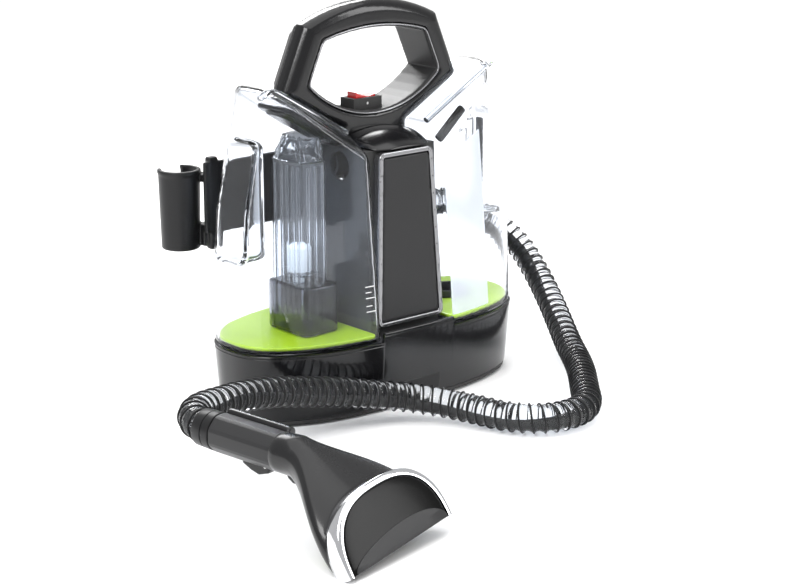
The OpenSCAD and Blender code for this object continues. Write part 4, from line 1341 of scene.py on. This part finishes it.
def make_catches():
    """Frosted grip strip of the dirty tank and the dark one of the clean tank."""
    def strip(low, high):
        def field(x, y, z):
            pad = block(x, y, z, (130.4, -11.6, low), (133.2, -3.6, high), 1.2)
            ribs = 0.35 * np.cos(z * 2 * math.pi / 4.5)
            return pad + np.where(x > 132, np.maximum(ribs, 0), 0)
        return field

    dark = solid("clean_grip_strip", (128, -14, 148), (135, -2, 240), 0.9, strip(150, 238), SATIN_BLACK)
    settle(dark, "clean_latch", "black_satin", ["clean_latch"])
    frosted = solid("dirty_grip_strip", (-135, -14, 172), (-128, -2, 240), 0.9,
                    mirrored(strip(176, 236), -1), FROSTED)
    settle(frosted, "dirty_latch", "black_satin", ["dirty_latch"])


def screw_head(name, r):
    def field(x, y, z):
        head = both(np.hypot(x, y) - r, both(z - 1.7 + 0.03 * (x * x + y * y), -z), 0.4)
        one, other = (np.maximum(np.abs(v) - 0.55, np.abs(w) - 0.58 * r) for v, w in ((x, y), (y, x)))
        return cut(head, np.maximum(np.minimum(one, other), 0.7 - z), 0.1)
    return solid(name, (-r - 1, -r - 1, -1), (r + 1, r + 1, 3), 0.28, field, STEEL)


def make_screws():
    """Cross-headed screws on the base, the column and the bracket."""
    corner = [(sx * BASE_RX * 0.66, sy * BASE_RY * 0.6, 2.6) for sx in (-1, 1) for sy in (-1, 1)]
    head = screw_head("head", 3.6)
    head.data.transform(Matrix.Rotation(math.pi, 4, "X"))
    settle(copies("base_screw_heads", corner, head, STEEL), "machine", "steel", ["base_screws"])
    for name, spots in (("column", [(sx * 34, 74.2, z) for sx in (-1, 1) for z in (84, 222)]),
                        ("bracket", [(-26, 82.3, z) for z in (165, 200)])):
        head = screw_head("head", 3.4)
        head.data.transform(Matrix.Rotation(-math.pi / 2, 4, "X"))
        settle(copies(name + "_screw_heads", spots, head, STEEL), "machine", "steel", [name + "_screws"])


def make_marks():
    """Raised level lines on the dirty tank's front, near the panel."""
    for i, z in enumerate((96, 101, 108, 113, 118)):
        length = 9 if i % 2 == 0 else 6
        x = np.linspace(-58, -58 + length, 5)
        rx, front, _ = tank_slice(z)
        path = level(np.column_stack([x, front_of(x, rx, front) - 0.1]), float(z))
        settle(make_loft(f"level_mark_{i}", tube_rings(path, 0.45, 8), MARKS), "dirty_tank", "white")


make_fittings()
make_catches()
make_screws()
make_marks()

# ---- finishes of the pieces kept from the CAD

FINISHES = {"black_gloss": GLOSS_BLACK, "black_satin": SATIN_BLACK, "charcoal": CHARCOAL, "bezel": SILVER,
            "rubber": RUBBER, "steel": STEEL, "clear_tank": CLEAR_TANK, "clear_part": CLEAR_PART,
            "lime": LIME, "red": RED, "motor": LACQUER, "white": WHITE, "chrome": CHROME,
            "hose": RUBBER, "bristle": BRISTLE}
for finish in frame["record"]["materials"]:
    for node in finish.get("nodes", []):
        kept = frame["nodes"][node]
        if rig.alive(kept):
            for place in kept.material_slots:
                place.material = FINISHES[finish["slot"]]

# ---- light, floor


def lamp(name, at, aim, wide, tall, watts):
    data = bpy.data.lights.new(name, "AREA")
    data.shape, data.size, data.size_y, data.energy = "RECTANGLE", wide, tall, watts
    obj = new_object(name, data)
    obj.location = at
    obj.rotation_euler = (Vector(aim) - Vector(at)).to_track_quat("-Z", "Y").to_euler()


def make_stage():
    half = 40.0
    mesh = bpy.data.meshes.new("floor")
    corners = [(-half, -half, 0), (half, -half, 0), (half, half, 0), (-half, half, 0)]
    mesh.from_pydata(corners, [], [(0, 1, 2, 3)])
    floor = new_object("floor", mesh)
    paper = bpy.data.materials.new("paper")
    paper.use_nodes = True
    set_inputs(paper.node_tree.nodes["Principled BSDF"], Base_Color=(0.93, 0.93, 0.93, 1), Roughness=0.9)
    mesh.materials.append(paper)
    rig.stage(floor)
    world = bpy.data.worlds.new("studio")
    world.use_nodes = True
    set_inputs(world.node_tree.nodes["Background"], Color=(1, 1, 1, 1), Strength=0.6)
    bpy.context.scene.world = world
    lamp("key", (-1.6, -0.5, 1.7), (0, 0, 0.15), 1.2, 0.8, 34)
    lamp("front_strip", (1.3, -1.5, 1.2), (0, 0, 0.15), 0.5, 1.4, 14)
    lamp("back", (0.7, 1.5, 1.5), (0, 0, 0.2), 1.4, 0.8, 30)
    sky = bpy.data.lights.new("sky", "SUN")
    sky.energy, sky.angle = 1.5, math.radians(70)
    new_object("sky", sky)
    bpy.context.scene.view_settings.view_transform = "Standard"


make_stage()

# ---- extents

with open("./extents.json", "w") as out:
    json.dump({"cad": [[float(v) for v in corner] for corner in cad_box],
               "built": [[float(v) for v in corner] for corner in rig.bounds()]}, out)
